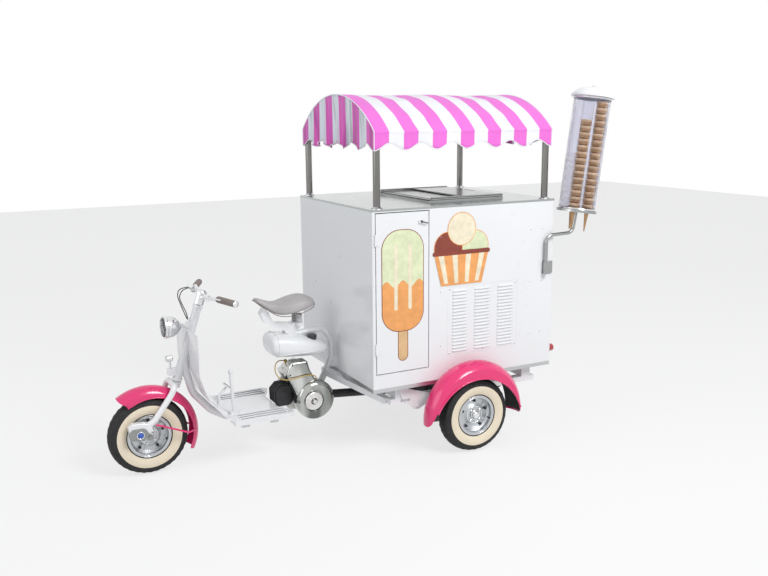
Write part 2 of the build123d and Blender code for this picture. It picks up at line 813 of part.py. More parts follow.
rail_seat = arch_radius - hoop_top - hoop_metal
rail_radius = sqrt(rail_seat ** 2 - (canopy_rail_width / 2) ** 2) - canopy_rail_metal / 2
with BuildPart() as canopy_rails:
    with BuildSketch(across(box_middle_x - post_reach - hoop_width / 2)):
        for turn in (-2 * canopy_rail_angle, -canopy_rail_angle, canopy_rail_angle, 2 * canopy_rail_angle):
            spot = (rail_radius * sin(radians(turn)), arch_centre_z + rail_radius * cos(radians(turn)), 0)
            with Locations(Location(spot, (0, 0, -turn))):
                Rectangle(canopy_rail_width, canopy_rail_metal)
    extrude(amount=2 * post_reach + hoop_width)
canopy_rails.part.label = "canopy_rails"
export_step(canopy_rails.part, "parts/canopy_rails.step")

# Striped cover: arched top, valance all round and a gable at each end
valance_foot = canopy_eave - canopy_valance
with BuildPart() as canopy_cover:
    with BuildSketch(across(box_middle_x - canopy_half_length)):
        arch_outline(canopy_half_width, 0, valance_foot)
    extrude(amount=2 * canopy_half_length)
    with BuildSketch(across(box_middle_x - canopy_half_length + canopy_cloth)):
        arch_outline(canopy_half_width - canopy_cloth, canopy_cloth, valance_foot - 1)
    extrude(amount=2 * (canopy_half_length - canopy_cloth), mode=Mode.SUBTRACT)
canopy_cover.part.label = "canopy_cover"
export_step(canopy_cover.part, "parts/canopy_cover.step")

# Rear mudguards: an arched strip beside the box and a skirt, cut to the wheel opening and beaded
with BuildPart() as rear_mudguards:
    for outward in (1, -1):
        with BuildSketch(round_axle(0, mudguard_front_angle)):
            with BuildLine():
                ThreePointArc((outward * box_half_width, mudguard_inner_radius),
                              (outward * mudguard_crown_y, mudguard_crown_radius),
                              (outward * mudguard_crease_y, mudguard_crease_radius))
                Line((outward * mudguard_crease_y, mudguard_crease_radius),
                     (outward * mudguard_outer_y, mudguard_skirt_radius))
                offset(amount=mudguard_metal, side=Side.RIGHT if outward > 0 else Side.LEFT)
            make_face()
        revolve(axis=axle_line(0), revolution_arc=mudguard_rear_angle - mudguard_front_angle)
        skirt_face = outward * (mudguard_outer_y + 2 * mudguard_bead_radius)
        with BuildSketch(side(skirt_face)):
            with Locations((mudguard_opening_ahead, tyre_radius - mudguard_opening_drop)):
                Circle(mudguard_opening_radius)
        extrude(amount=outward * 7 * mudguard_bead_radius, mode=Mode.SUBTRACT)
        for ahead, end_angle in ((1, mudguard_front_angle), (-1, mudguard_rear_angle)):
            corner_z = tyre_radius - mudguard_crown_radius * abs(sin(radians(end_angle))) + mudguard_corner
            corner_y = mudguard_crease_y - 4 * mudguard_bead_radius - mudguard_corner
            with BuildSketch(across(ahead * mudguard_skirt_radius)):
                with Locations((outward * corner_y, corner_z)):
                    Rectangle(2 * mudguard_corner, 2 * mudguard_corner,
                              align=(Align.MIN if outward > 0 else Align.MAX, Align.MAX))
                    Circle(mudguard_corner, mode=Mode.SUBTRACT)
            extrude(amount=ahead * mudguard_skirt_radius, mode=Mode.SUBTRACT)
        bead_start = radians(mudguard_bead_start)
        bead_point = at(mudguard_opening_ahead + mudguard_opening_radius * cos(bead_start),
                        outward * mudguard_outer_y,
                        tyre_radius - mudguard_opening_drop + mudguard_opening_radius * sin(bead_start))
        opening_axis = Axis(at(mudguard_opening_ahead, 0, tyre_radius - mudguard_opening_drop), (0, -1, 0))
        with BuildSketch(Plane(origin=bead_point, x_dir=(0, 1, 0),
                               z_dir=(sin(bead_start), 0, -cos(bead_start)))):
            Circle(mudguard_bead_radius)
        revolve(axis=opening_axis, revolution_arc=mudguard_bead_sweep)
rear_mudguards.part.label = "rear_mudguards"
export_step(rear_mudguards.part, "parts/rear_mudguards.step")

# Tail lamps on the box's rear face
with BuildPart() as tail_lamps:
    for outward in (1, -1):
        with BuildSketch(across(box_rear_x)):
            with Locations((outward * tail_lamp_y, tail_lamp_z)):
                Circle(tail_lamp_radius)
        extrude(amount=-tail_lamp_length, taper=8)
tail_lamps.part.label = "tail_lamps"
export_step(tail_lamps.part, "parts/tail_lamps.step")

# Cone dispenser: tilted tube on a bent arm
tilt = radians(dispenser_tilt)
dispenser_axis = Vector(-sin(tilt), 0, cos(tilt))


def on_dispenser(s):
    """Plane square to the dispenser's axis at a distance up it from the base plate."""
    foot = at(dispenser_foot_x, dispenser_y, dispenser_foot_z)
    return Plane(origin=foot + dispenser_axis * s, x_dir=(cos(tilt), 0, sin(tilt)), z_dir=dispenser_axis)


arm_start = at(arm_socket_x, dispenser_y, arm_socket_z)
arm_end = on_dispenser(-dispenser_base_metal).origin
with BuildPart() as dispenser_arm:
    with BuildSketch(level(arm_socket_z)):
        with Locations((arm_socket_x, dispenser_y)):
            Circle(dispenser_arm_radius + 5)
        with Locations((arm_socket_x - 20, box_half_width + 4)):
            Rectangle(70, 8)
    extrude(amount=70)
    tube([arm_start, at(arm_socket_x, dispenser_y, arm_elbow_z),
          at(arm_knee_x, dispenser_y, arm_elbow_z + 6), arm_end], arm_bend, dispenser_arm_radius)
    with BuildSketch(on_dispenser(-dispenser_base_metal)):
        Circle(dispenser_base_radius)
        with PolarLocations(stack_circle, stack_count, start_angle=stack_start):
            Circle(base_hole_radius, mode=Mode.SUBTRACT)
    extrude(amount=dispenser_base_metal)
dispenser_arm.part.label = "dispenser_arm"
export_step(dispenser_arm.part, "parts/dispenser_arm.step")

with BuildPart() as dispenser_tube:
    with BuildSketch(on_dispenser(0)):
        Circle(dispenser_radius)
        Circle(dispenser_radius - dispenser_wall, mode=Mode.SUBTRACT)
    extrude(amount=dispenser_length)
dispenser_tube.part.label = "dispenser_tube"
export_step(dispenser_tube.part, "parts/dispenser_tube.step")

with BuildPart() as dispenser_lid:
    lid_plane = on_dispenser(dispenser_length + dispenser_lid_gap)
    with BuildSketch(Plane(origin=lid_plane.origin, x_dir=lid_plane.x_dir, z_dir=-lid_plane.y_dir)):
        with BuildLine():
            Line((0, 0), (dispenser_cap_radius, 0))
            Line((dispenser_cap_radius, 0), (dispenser_cap_radius, 10))
            ThreePointArc((dispenser_cap_radius, 10), (dispenser_cap_radius * 0.74, 40),
                          (14, dispenser_cap_height - 6))
            Line((14, dispenser_cap_height - 6), (12, dispenser_cap_height))
            Line((12, dispenser_cap_height), (0, dispenser_cap_height))
            Line((0, dispenser_cap_height), (0, 0))
        make_face()
    revolve(axis=Axis(lid_plane.origin, lid_plane.z_dir))
dispenser_lid.part.label = "dispenser_lid"
export_step(dispenser_lid.part, "parts/dispenser_lid.step")

# Stacks of nested wafer cones: share of the tube's height that each one fills
stack_heights = [(0, 0.80), (1, 0.97), (3, 0.55)]
with BuildPart() as wafer_cones:
    for place, share in stack_heights:
        turn = stack_start + place * 360.0 / stack_count
        middle = on_dispenser(0)
        offset_x = stack_circle * cos(radians(turn))
        offset_y = stack_circle * sin(radians(turn))
        origin = middle.origin + middle.x_dir * offset_x + middle.y_dir * offset_y
        rings = int(dispenser_length * share / cone_pitch)
        profile = [(0, -cone_length), (cone_tip_radius, -cone_length)]
        profile += [(cone_waist_radius, -dispenser_base_metal)]
        for ring in range(rings):
            foot = ring * cone_pitch
            profile += [(cone_mouth_radius * 0.8, foot), (cone_mouth_radius * 0.88, foot + cone_pitch * 0.3),
                        (cone_mouth_radius * 0.95, foot + cone_pitch * 0.34),
                        (cone_mouth_radius, foot + cone_pitch - 1)]
        profile += [(0, rings * cone_pitch - 1)]
        with BuildSketch(Plane(origin=origin, x_dir=middle.x_dir, z_dir=-middle.y_dir)):
            with BuildLine():
                Polyline(*profile, close=True)
            make_face()
        revolve(axis=Axis(origin, middle.z_dir))
wafer_cones.part.label = "wafer_cones"
export_step(wafer_cones.part, "parts/wafer_cones.step")

# Main frame: steering head, down tube and the tube under the footboard
head_foot = on_steering(0)


def column_x(z):
    """Station of the steering axis at a height."""
    return steering_foot_x - (z - steering_foot_z) * tan(radians(rake))


down_tube_x = shield_x + down_tube_radius
floor_underside = floor_top - floor_metal
cable_paths = [[at(*point) for point in cable_route]]
cable_paths.append([at(*point) + Vector(*shift) for point, shift in zip(cable_route, cable_spread)])
cable_ends = [path[-1] for path in cable_paths]
with BuildPart() as main_frame:
    with BuildSketch(head_foot):
        Circle(head_tube_radius)
    extrude(amount=head_tube_length)
    for cup_foot in (0, head_tube_length - head_cup_height):
        with BuildSketch(on_steering(cup_foot)):
            Circle(head_cup_radius)
        extrude(amount=head_cup_height)
    tube([at(column_x(600), 0, 600), at(down_tube_x, 0, 530), at(shield_x - 14, 0, 396), at(1322, 0, 282),
          at(1235, 0, floor_tube_z), at(floor_notch_x - 5, 0, floor_tube_z)],
         list(down_tube_bends), down_tube_radius)
    for station in (1180, 1020):
        with BuildSketch(across(station)):
            with Locations((0, (floor_tube_z + floor_underside) / 2)):
                Rectangle(2 * shield_foot_half_width - 40, floor_underside - floor_tube_z)
        extrude(amount=40)
    with BuildSketch(across(column_x(headlamp_z))):
        with Locations((0, headlamp_z)):
            Rectangle(26, 30)
    extrude(amount=34)
    with BuildSketch(across(column_x(527))):
        with Locations((0, 527)):
            Rectangle(38, 34)
    extrude(amount=62)
    for stop in cable_ends:
        with BuildSketch(Plane(origin=stop, z_dir=at(column_x(stop.Z), 0, stop.Z - 12) - stop)):
            Circle(cable_stop_radius)
        extrude(amount=2 * cable_stop_length)
    with BuildSketch(head_foot):
        Circle(head_tube_bore_radius)
    extrude(amount=head_tube_length, mode=Mode.SUBTRACT)
    for cup_foot in (0, head_tube_length - head_cup_height):
        with BuildSketch(on_steering(cup_foot)):
            Circle(head_tube_bore_radius + 1)
            Circle(stem_radius + stem_clearance, mode=Mode.SUBTRACT)
        extrude(amount=head_cup_height)
main_frame.part.label = "main_frame"
export_step(main_frame.part, "parts/main_frame.step")

# Leg shield: one bent sheet, cut to its outline and slotted for the steering head
with BuildPart() as leg_shield:
    with BuildSketch(side(-shield_foot_half_width)):
        with BuildLine():
            FilletPolyline((shield_x, shield_top), *shield_line, (floor_front_x, floor_top),
                           radius=list(shield_bends))
            offset(amount=shield_metal, side=Side.RIGHT)
        make_face()
    extrude(amount=-2 * shield_foot_half_width)
    with BuildSketch(across(floor_front_x - 20)):
        Polygon((shield_foot_half_width, 200), (shield_foot_half_width, 350), (shield_half_width - 6, 500),
                (shield_half_width, shield_top), (-shield_half_width, shield_top),
                (-shield_half_width + 6, 500),
                (-shield_foot_half_width, 350), (-shield_foot_half_width, 200), align=None)
        top_corners = vertices().sort_by(Axis.Z)[-2:]
        fillet(top_corners, shield_corner_radius)
    extrude(amount=240, mode=Mode.INTERSECT)
    with BuildSketch(head_foot):
        Circle(head_tube_radius)
    extrude(amount=head_tube_length, mode=Mode.SUBTRACT)
    add(main_frame.part, mode=Mode.SUBTRACT)
leg_shield.part.label = "leg_shield"
export_step(leg_shield.part, "parts/leg_shield.step")

# Footboard: ribbed pan with a notch for the engine
with BuildPart() as footboard:
    with BuildSketch(level(floor_top - floor_skirt)):
        Polygon((floor_front_x, shield_foot_half_width), (floor_side_x + 30, shield_foot_half_width),
                (floor_side_x, shield_foot_half_width - 24), (floor_notch_x, floor_notch_half_width),
                (floor_notch_x, -floor_notch_half_width), (floor_side_x, -shield_foot_half_width + 24),
                (floor_side_x + 30, -shield_foot_half_width), (floor_front_x, -shield_foot_half_width),
                align=None)
    extrude(amount=floor_skirt)
    underside = footboard.faces().sort_by(Axis.Z)[0]
    offset(amount=-floor_metal, openings=underside)
    with BuildSketch(level(floor_top)):
        for rib_y in floor_rib_offsets:
            for outward in (1, -1):
                with Locations((floor_front_x - 165, outward * rib_y)):
                    SlotOverall(270, floor_rib_width)
    extrude(amount=floor_rib_height)
    add(main_frame.part, mode=Mode.SUBTRACT)
footboard.part.label = "footboard"
export_step(footboard.part, "parts/footboard.step")

# Hand lever and brake pedal on the floor
with BuildPart() as hand_lever:
    with BuildSketch(level(floor_top)):
        with Locations((1226, 105)):
            Rectangle(50, 26)
    extrude(amount=14)
    tube([at(1228, 105, floor_top + 10), at(1238, 105, 512)], None, 9)
hand_lever.part.label = "hand_lever"
export_step(hand_lever.part, "parts/hand_lever.step")

with BuildPart() as brake_pedal:
    with BuildSketch(level(floor_top)):
        with Locations((1240, -95)):
            Rectangle(34, 22)
    extrude(amount=10)
    tube([at(1240, -95, floor_top + 6), at(1252, -95, 318), at(1205, -95, 366)], [18], 7)
    with BuildSketch(Plane(origin=at(1205, -95, 366), z_dir=(-47, 0, 48))):
        RectangleRounded(44, 52, 8)
    extrude(amount=9)
brake_pedal.part.label = "brake_pedal"
export_step(brake_pedal.part, "parts/brake_pedal.step")

# Loop tube: past the engine on the right, up behind it and forward over the tank
loop_route = [at(floor_notch_x - 5, 0, floor_tube_z), at(950, 0, floor_tube_z), at(880, loop_side_y, 226),
              at(668, loop_side_y, 232), at(640, -30, 378), at(607, 0, 486), at(609, 0, 590),
              at(655, 0, loop_tube_top_z), at(loop_tube_end_x, 0, loop_tube_end_z)]
with BuildPart() as engine_loop:
    tube(loop_route, [40, 60, 60, 60, 60, 60, 45], loop_tube_radius)
engine_loop.part.label = "engine_loop"
export_step(engine_loop.part, "parts/engine_loop.step")

# Arms from the loop back to the chassis rails
with BuildPart() as chassis_arms:
    for outward in (1, -1):
        start = at(633, outward * 8 - 24, 394)
        end = at(rail_front, outward * (rail_offset - 20), rail_bottom + rail_height / 2)
        with BuildSketch(Plane(origin=start, x_dir=(0, 0, 1), z_dir=end - start)):
            Rectangle(arm_height, arm_width)
        extrude(amount=(end - start).length)
    add(engine_loop.part, mode=Mode.SUBTRACT)
    add(chassis_rails.part, mode=Mode.SUBTRACT)
    add(box_floor.part, mode=Mode.SUBTRACT)
chassis_arms.part.label = "chassis_arms"
export_step(chassis_arms.part, "parts/chassis_arms.step")

# Engine: crankcase across the frame, finned barrel leaning forward, gearbox behind
barrel_axis = Vector(cos(radians(barrel_tilt)), 0, sin(radians(barrel_tilt)))
barrel_reach = barrel_foot + barrel_collar + fin_count * fin_pitch


def on_barrel(s):
    """Plane square to the cylinder barrel at a distance from the crankshaft."""
    middle = at(crank_x, 0, crank_z)
    return Plane(origin=middle + barrel_axis * s, x_dir=(0, 1, 0), z_dir=barrel_axis)


with BuildPart() as engine_case:
    with BuildSketch(side(crankcase_half_width)):
        with Locations((crank_x, crank_z)):
            Circle(crankcase_radius)
    extrude(amount=2 * crankcase_half_width)
    with BuildSketch(side(crankcase_half_width)):
        Polygon(*gearcase_profile, align=None)
    extrude(amount=crankcase_half_width + 46)
    with BuildSketch(across(bell_x)):
        with Locations((0, crank_z - 28)):
            Circle(bell_radius)
    extrude(amount=crank_x - bell_x)
    with BuildSketch(on_barrel(barrel_foot)):
        Circle(38)
    extrude(amount=barrel_reach - barrel_foot)
    for fin in range(fin_count):
        with BuildSketch(on_barrel(barrel_foot + 34 + fin * fin_pitch)):
            RectangleRounded(108, 118, 20)
        extrude(amount=fin_metal)
    with BuildSketch(side(0)):
        Polygon((crank_x + 60, 214), (882, 218), (882, 256), (crank_x + 70, 270), align=None)
    extrude(amount=24, both=True)
engine_case.part.label = "engine_case"
export_step(engine_case.part, "parts/engine_case.step")

# Fan housing on the left, its duct up to the barrel, and the bright flywheel in its middle
with BuildPart() as engine_cowl:
    with BuildSketch(side(fan_outer_y)):
        with Locations((fan_x, fan_z)):
            Circle(fan_radius)
    extrude(amount=fan_outer_y - crankcase_half_width)
    fillet(engine_cowl.faces().sort_by(Axis.Y)[-1].edges(), fan_edge)
    with BuildPart(mode=Mode.PRIVATE) as duct:
        with BuildSketch(side(duct_outer_y)):
            Polygon(*duct_profile, align=None)
            fillet(vertices(), duct_edge)
        extrude(amount=duct_outer_y - duct_inner_y)
        fillet(duct.faces().sort_by(Axis.Y)[-1].edges(), duct_edge)
    add(duct.part)
    with BuildSketch(side(fan_outer_y)):
        with Locations((flywheel_x, flywheel_z)):
            Circle(flywheel_radius + 6)
    extrude(amount=flywheel_recess, mode=Mode.SUBTRACT)
    add(engine_case.part, mode=Mode.SUBTRACT)
engine_cowl.part.label = "engine_cowl"
export_step(engine_cowl.part, "parts/engine_cowl.step")

with BuildPart() as flywheel:
    with BuildSketch(side(fan_outer_y - flywheel_recess)):
        with Locations((flywheel_x, flywheel_z)):
            Circle(flywheel_radius)
    extrude(amount=-flywheel_recess - 8)
    fillet(flywheel.faces().sort_by(Axis.Y)[-1].edges(), 5)
    with BuildSketch(side(fan_outer_y + 8)):
        with Locations((flywheel_x, flywheel_z)):
            Circle(flywheel_hub_radius)
    extrude(amount=4, mode=Mode.SUBTRACT)
    with BuildSketch(side(fan_outer_y + 4)):
        with Locations((flywheel_x, flywheel_z)):
            RegularPolygon(flywheel_hub_radius - 6, 6)
    extrude(amount=-14)
flywheel.part.label = "flywheel"
export_step(flywheel.part, "parts/flywheel.step")

# Spark plug with its lead, round the front of the duct and back to the fan housing
lead_points = [at(*point) for point in lead_route]
with BuildPart() as spark_lead:
    with BuildSketch(on_barrel(barrel_reach)):
        Circle(plug_radius)
    extrude(amount=plug_length)
    lead_radii = cord_radii(lead_points)
    print("lead", [round(radius) for radius in lead_radii])
    tube(lead_points, lead_radii, lead_radius)
    add(engine_case.part, mode=Mode.SUBTRACT)
    add(engine_cowl.part, mode=Mode.SUBTRACT)
spark_lead.part.label = "spark_lead"
export_step(spark_lead.part, "parts/spark_lead.step")

# Carburettor and its ribbed air cleaner ahead of the crankcase
with BuildPart() as carburettor:
    with BuildSketch(side(50)):
        Polygon((880, 256), (874, 330), (884, 366), (940, 368), (968, 340), (966, 280), (944, 256),
                align=None)
        fillet(vertices(), 8)
    extrude(amount=100)
    for fin in range(cleaner_fin_count):
        with BuildSketch(side(50 - fin * cleaner_fin_pitch - cleaner_fin_pitch / 2)):
            Polygon((870, 262), (868, 332), (880, 374), (944, 376), (977, 342), (975, 276), (950, 250),
                    (892, 250), align=None)
            fillet(vertices(), 8)
        extrude(amount=cleaner_fin_metal)
    with BuildSketch(across(crank_x + 40)):
        with Locations((5, 330)):
            Circle(16)
    extrude(amount=80)
    add(engine_case.part, mode=Mode.SUBTRACT)
carburettor.part.label = "carburettor"
export_step(carburettor.part, "parts/carburettor.step")

# Exhaust pipe and silencer low on the right
with BuildPart() as exhaust:
    with BuildSketch(across(560)):
        with Locations((exhaust_y, 190)):
            Ellipse(38, 48)
    extrude(amount=250)
    fillet(exhaust.edges(), 12)
    tube([at(800, exhaust_y, 190), at(880, exhaust_y, 200), at(905, -110, 330), at(860, -50, 420)],
         [40, 40], 14)
    add(engine_case.part, mode=Mode.SUBTRACT)
exhaust.part.label = "exhaust"
export_step(exhaust.part, "parts/exhaust.step")

# Fuel tank with an open groove for the loop tube, and its cap
with BuildPart() as fuel_tank:
    with BuildSketch(side(tank_half_width)):
        Polygon(*tank_profile, align=None)
        fillet(vertices(), tank_corner)
    extrude(amount=2 * tank_half_width)
    fillet(fuel_tank.faces().filter_by(Axis.Y).edges(), tank_edge_radius)
    add(engine_loop.part, mode=Mode.SUBTRACT)
    with BuildSketch(side(loop_tube_radius)):
        Polygon((655, loop_tube_top_z), (loop_tube_end_x, loop_tube_end_z),
                (loop_tube_end_x, loop_tube_top_z + 40), (655, loop_tube_top_z + 40), align=None)
    extrude(amount=2 * loop_tube_radius, mode=Mode.SUBTRACT)
fuel_tank.part.label = "fuel_tank"
export_step(fuel_tank.part, "parts/fuel_tank.step")

with BuildPart() as tank_cap:
    with BuildSketch(level(tank_cap_top_z)):
        with Locations((tank_cap_x, tank_cap_y)):
            Circle(tank_cap_radius)
    extrude(amount=-tank_cap_height)
    fillet(tank_cap.faces().sort_by(Axis.Z)[-1].edges(), 4)
    add(fuel_tank.part, mode=Mode.SUBTRACT)
tank_cap.part.label = "tank_cap"
export_step(tank_cap.part, "parts/tank_cap.step")

# Saddle bracket: post on the tank and the loop tube, a cradle below the saddle and two springs
with BuildPart() as seat_bracket:
    with BuildSketch(side(bracket_half_width)):
        Polygon(*bracket_profile, align=None)
    extrude(amount=2 * bracket_half_width)
    with BuildSketch(level(700)):
        with Locations((seat_spring_x, 0)):
            RectangleRounded(2 * seat_spring_radius + 6, 2 * (seat_spring_y + seat_spring_radius) + 6, 8)
    extrude(amount=16)
    with BuildSketch(level(716)):
        with Locations((seat_spring_x, seat_spring_y), (seat_spring_x, -seat_spring_y)):
            Circle(seat_spring_radius)
    extrude(amount=60)
    add(fuel_tank.part, mode=Mode.SUBTRACT)
    add(engine_loop.part, mode=Mode.SUBTRACT)

# Saddle: side profile and plan outline crossed, with rounded edges
with BuildPart() as saddle:
    with BuildSketch(side(saddle_half_width)):
        with BuildLine():
            Polyline((1058, 868), (985, 790), (930, 752), (800, 764), (738, 800), (728, 832))
            ThreePointArc((728, 832), (775, 866), (850, 856))
            ThreePointArc((850, 856), (940, 832), (1030, 874))
            Line((1030, 874), (1058, 868))
        make_face()
    extrude(amount=2 * saddle_half_width)
    with BuildSketch(level(700)):
        Polygon((1066, saddle_nose_half_width), (960, 62), (860, saddle_half_width),
                (760, saddle_half_width - 6), (722, 60), (722, -60), (760, -saddle_half_width + 6),
                (860, -saddle_half_width), (960, -62), (1066, -saddle_nose_half_width), align=None)
        fillet(vertices(), 24)
    extrude(amount=220, mode=Mode.INTERSECT)
saddle.part.label = "saddle"
export_step(saddle.part, "parts/saddle.step")

# The bracket ends where the saddle starts
with seat_bracket:
    add(saddle.part, mode=Mode.SUBTRACT)
seat_bracket.part.label = "seat_bracket"
export_step(seat_bracket.part, "parts/seat_bracket.step")

# Headlamp bowl on the lug of the steering head, with its glass
lug_front = column_x(headlamp_z) + 34
lamp_rear = headlamp_rim_x - headlamp_length
lens_edge = headlamp_radius - lamp_wall * 2
lens_seat = headlamp_rim_x - lamp_wall * 2
with BuildPart() as headlamp:
    with BuildSketch(side(0)):
        with BuildLine():
            Line((lamp_rear, headlamp_z), (lamp_rear, headlamp_z + 14))
            ThreePointArc((lamp_rear, headlamp_z + 14), (lamp_rear + 28, headlamp_z + 46),
                          (headlamp_rim_x - 16, headlamp_z + headlamp_radius))
            Polyline((headlamp_rim_x - 16, headlamp_z + headlamp_radius),
                     (headlamp_rim_x, headlamp_z + headlamp_radius), (headlamp_rim_x, headlamp_z + lens_edge),
                     (lens_seat, headlamp_z + lens_edge), (lens_seat, headlamp_z), (lamp_rear, headlamp_z))
        make_face()
    revolve(axis=Axis(at(0, 0, headlamp_z), (1, 0, 0)))
    with BuildSketch(across(lug_front)):
        with Locations((0, headlamp_z)):
            Rectangle(22, 24)
    extrude(amount=lamp_rear + 8 - lug_front)
headlamp.part.label = "headlamp"
export_step(headlamp.part, "parts/headlamp.step")

with BuildPart() as headlamp_lens:
    with BuildSketch(across(lens_seat)):
        with Locations((0, headlamp_z)):
            Circle(lens_edge)
    extrude(amount=headlamp_rim_x + lens_depth - lens_seat)
    fillet(headlamp_lens.faces().sort_by(Axis.X)[-1].edges(), lens_depth - 1)
headlamp_lens.part.label = "headlamp_lens"
export_step(headlamp_lens.part, "parts/headlamp_lens.step")

# Small side lamp standing on the lug below the headlamp
lamp_stand_x = column_x(527) + 48
with BuildPart() as side_lamp:
    with BuildSketch(level(544)):
        with Locations((lamp_stand_x, 0)):
            Circle(6)
    extrude(amount=44)
    with BuildSketch(across(lamp_stand_x - 16)):
        with Locations((0, 600)):
            Circle(17)
    extrude(amount=32)
    fillet(side_lamp.faces().sort_by(Axis.X)[0].edges(), 8)
side_lamp.part.label = "side_lamp"
export_step(side_lamp.part, "parts/side_lamp.step")

# Steering body: stem, arched crown and two bent legs that end in a toe
fork_top = on_steering(-crown_gap)
crown_middle = on_steering(-crown_gap - crown_thickness / 2)
leg_top = crown_middle.origin + crown_middle.x_dir * crown_forward
toe_inner_y = fork_leg_offset - fork_leg_radius
toe_outer_y = toe_inner_y + toe_width
with BuildPart() as fork:
    with BuildSketch(on_steering(-crown_gap - crown_thickness)):
        Circle(crown_boss_radius)
    extrude(amount=crown_thickness)
    with BuildSketch(fork_top):
        Circle(stem_radius)
    extrude(amount=head_tube_length + 2 * crown_gap)
    left_leg = [leg_top + Vector(0, fork_leg_offset, 0)] + [at(x, fork_leg_offset, z) for x, z in fork_line]
    right_leg = [leg_top - Vector(0, fork_leg_offset, 0)]
    right_leg += [at(x, -fork_leg_offset, z) for x, z in fork_line]
    leg_bends = [crown_bend] + list(fork_bends)
    tube(left_leg[::-1] + right_leg, leg_bends[::-1] + leg_bends, fork_leg_radius)
    for outward in (1, -1):
        with BuildPart(mode=Mode.PRIVATE) as toe:
            with BuildSketch(side(outward * toe_outer_y)):
                Polygon(*toe_profile, align=None)
                fillet(vertices(), toe_rounding)
            extrude(amount=outward * toe_width)
            fillet(toe.faces().filter_by(Axis.Y).edges(), toe_rounding - 2)
        add(toe.part)
fork.part.label = "fork"
export_step(fork.part, "parts/fork.step")

# Trailing links inside the toes with the axle, and the covers over their pivots
with BuildPart() as front_links:
    for outward in (1, -1):
        with BuildSketch(side(outward * toe_inner_y)):
            with Locations((link_pivot_x, link_pivot_z), (wheelbase, tyre_radius)):
                Circle(link_end_radius)
            Polygon((link_pivot_x - 10, link_pivot_z - 15), (link_pivot_x - 4, link_pivot_z + 16),
                    (wheelbase - 6, tyre_radius + 16), (wheelbase + 2, tyre_radius - 17), align=None)
        extrude(amount=outward * link_metal)
        with BuildSketch(side(outward * (toe_outer_y + link_cover_metal))):
            with Locations((link_cover_x, link_cover_z)):
                RectangleRounded(link_cover_length, link_cover_height, link_cover_height / 2 - 1)
        extrude(amount=outward * link_cover_metal)
        with BuildSketch(side(outward * (toe_outer_y + link_cover_metal + link_cap_height))):
            with Locations((link_pivot_x, link_pivot_z)):
                Circle(link_cap_radius)
        extrude(amount=outward * link_cap_height)
    with BuildSketch(side(toe_inner_y)):
        with Locations((wheelbase, tyre_radius)):
            Circle(front_axle_radius)
    extrude(amount=2 * toe_inner_y)
    for outward in (1, -1):
        with BuildSketch(side(outward * (toe_inner_y + link_metal))):
            with Locations((wheelbase, tyre_radius)):
                RegularPolygon(front_axle_radius + 3, 6)
        extrude(amount=outward * link_metal)
front_links.part.label = "front_links"
export_step(front_links.part, "parts/front_links.step")

# Front mudguard with its pillar to the crown and the stays to the fork legs
tip_angle = radians(front_guard_front_angle)
tip_plane = Plane(origin=at(wheelbase + front_guard_crown_radius * cos(tip_angle), 0,
                            tyre_radius + front_guard_crown_radius * sin(tip_angle)),
                  x_dir=(0, 1, 0), z_dir=(cos(tip_angle), 0, sin(tip_angle)))
stay_outer_y = fork_leg_offset + fork_leg_radius + stay_gap
with BuildPart() as front_mudguard:
    with BuildSketch(round_axle(wheelbase, front_guard_front_angle)):
        with BuildLine():
            ThreePointArc((front_guard_half_width, front_guard_edge_radius), (0, front_guard_crown_radius),
                          (-front_guard_half_width, front_guard_edge_radius))
            offset(amount=mudguard_metal, side=Side.LEFT)
        make_face()
    revolve(axis=axle_line(wheelbase), revolution_arc=front_guard_rear_angle - front_guard_front_angle)
    with BuildSketch(tip_plane):
        for outward in (1, -1):
            with Locations((outward * (front_guard_half_width - front_guard_corner), front_guard_corner)):
                Rectangle(2 * front_guard_corner, 2 * front_guard_corner,
                          align=(Align.MIN if outward > 0 else Align.MAX, Align.MAX))
                Circle(front_guard_corner, mode=Mode.SUBTRACT)
    extrude(amount=front_guard_half_width * 2, both=True, mode=Mode.SUBTRACT)
    with BuildSketch(side(2 * front_guard_half_width)):
        with Locations((wheelbase - front_guard_opening_behind, tyre_radius)):
            Circle(front_guard_opening_radius)
    extrude(amount=4 * front_guard_half_width, mode=Mode.SUBTRACT)
    with BuildSketch(on_steering(-crown_gap - crown_thickness)):
        Circle(front_guard_pillar_radius)
    extrude(amount=-front_guard_pillar)
    for outward in (1, -1):
        (rear_x, rear_z), (bend_x, bend_z), (front_x, front_z) = stay_line
        tube([at(rear_x, outward * (front_guard_half_width - 9), rear_z),
              at(bend_x, outward * stay_outer_y, bend_z), at(front_x, outward * stay_outer_y, front_z)],
             [stay_bend], stay_radius)
front_mudguard.part.label = "front_mudguard"
export_step(front_mudguard.part, "parts/front_mudguard.step")

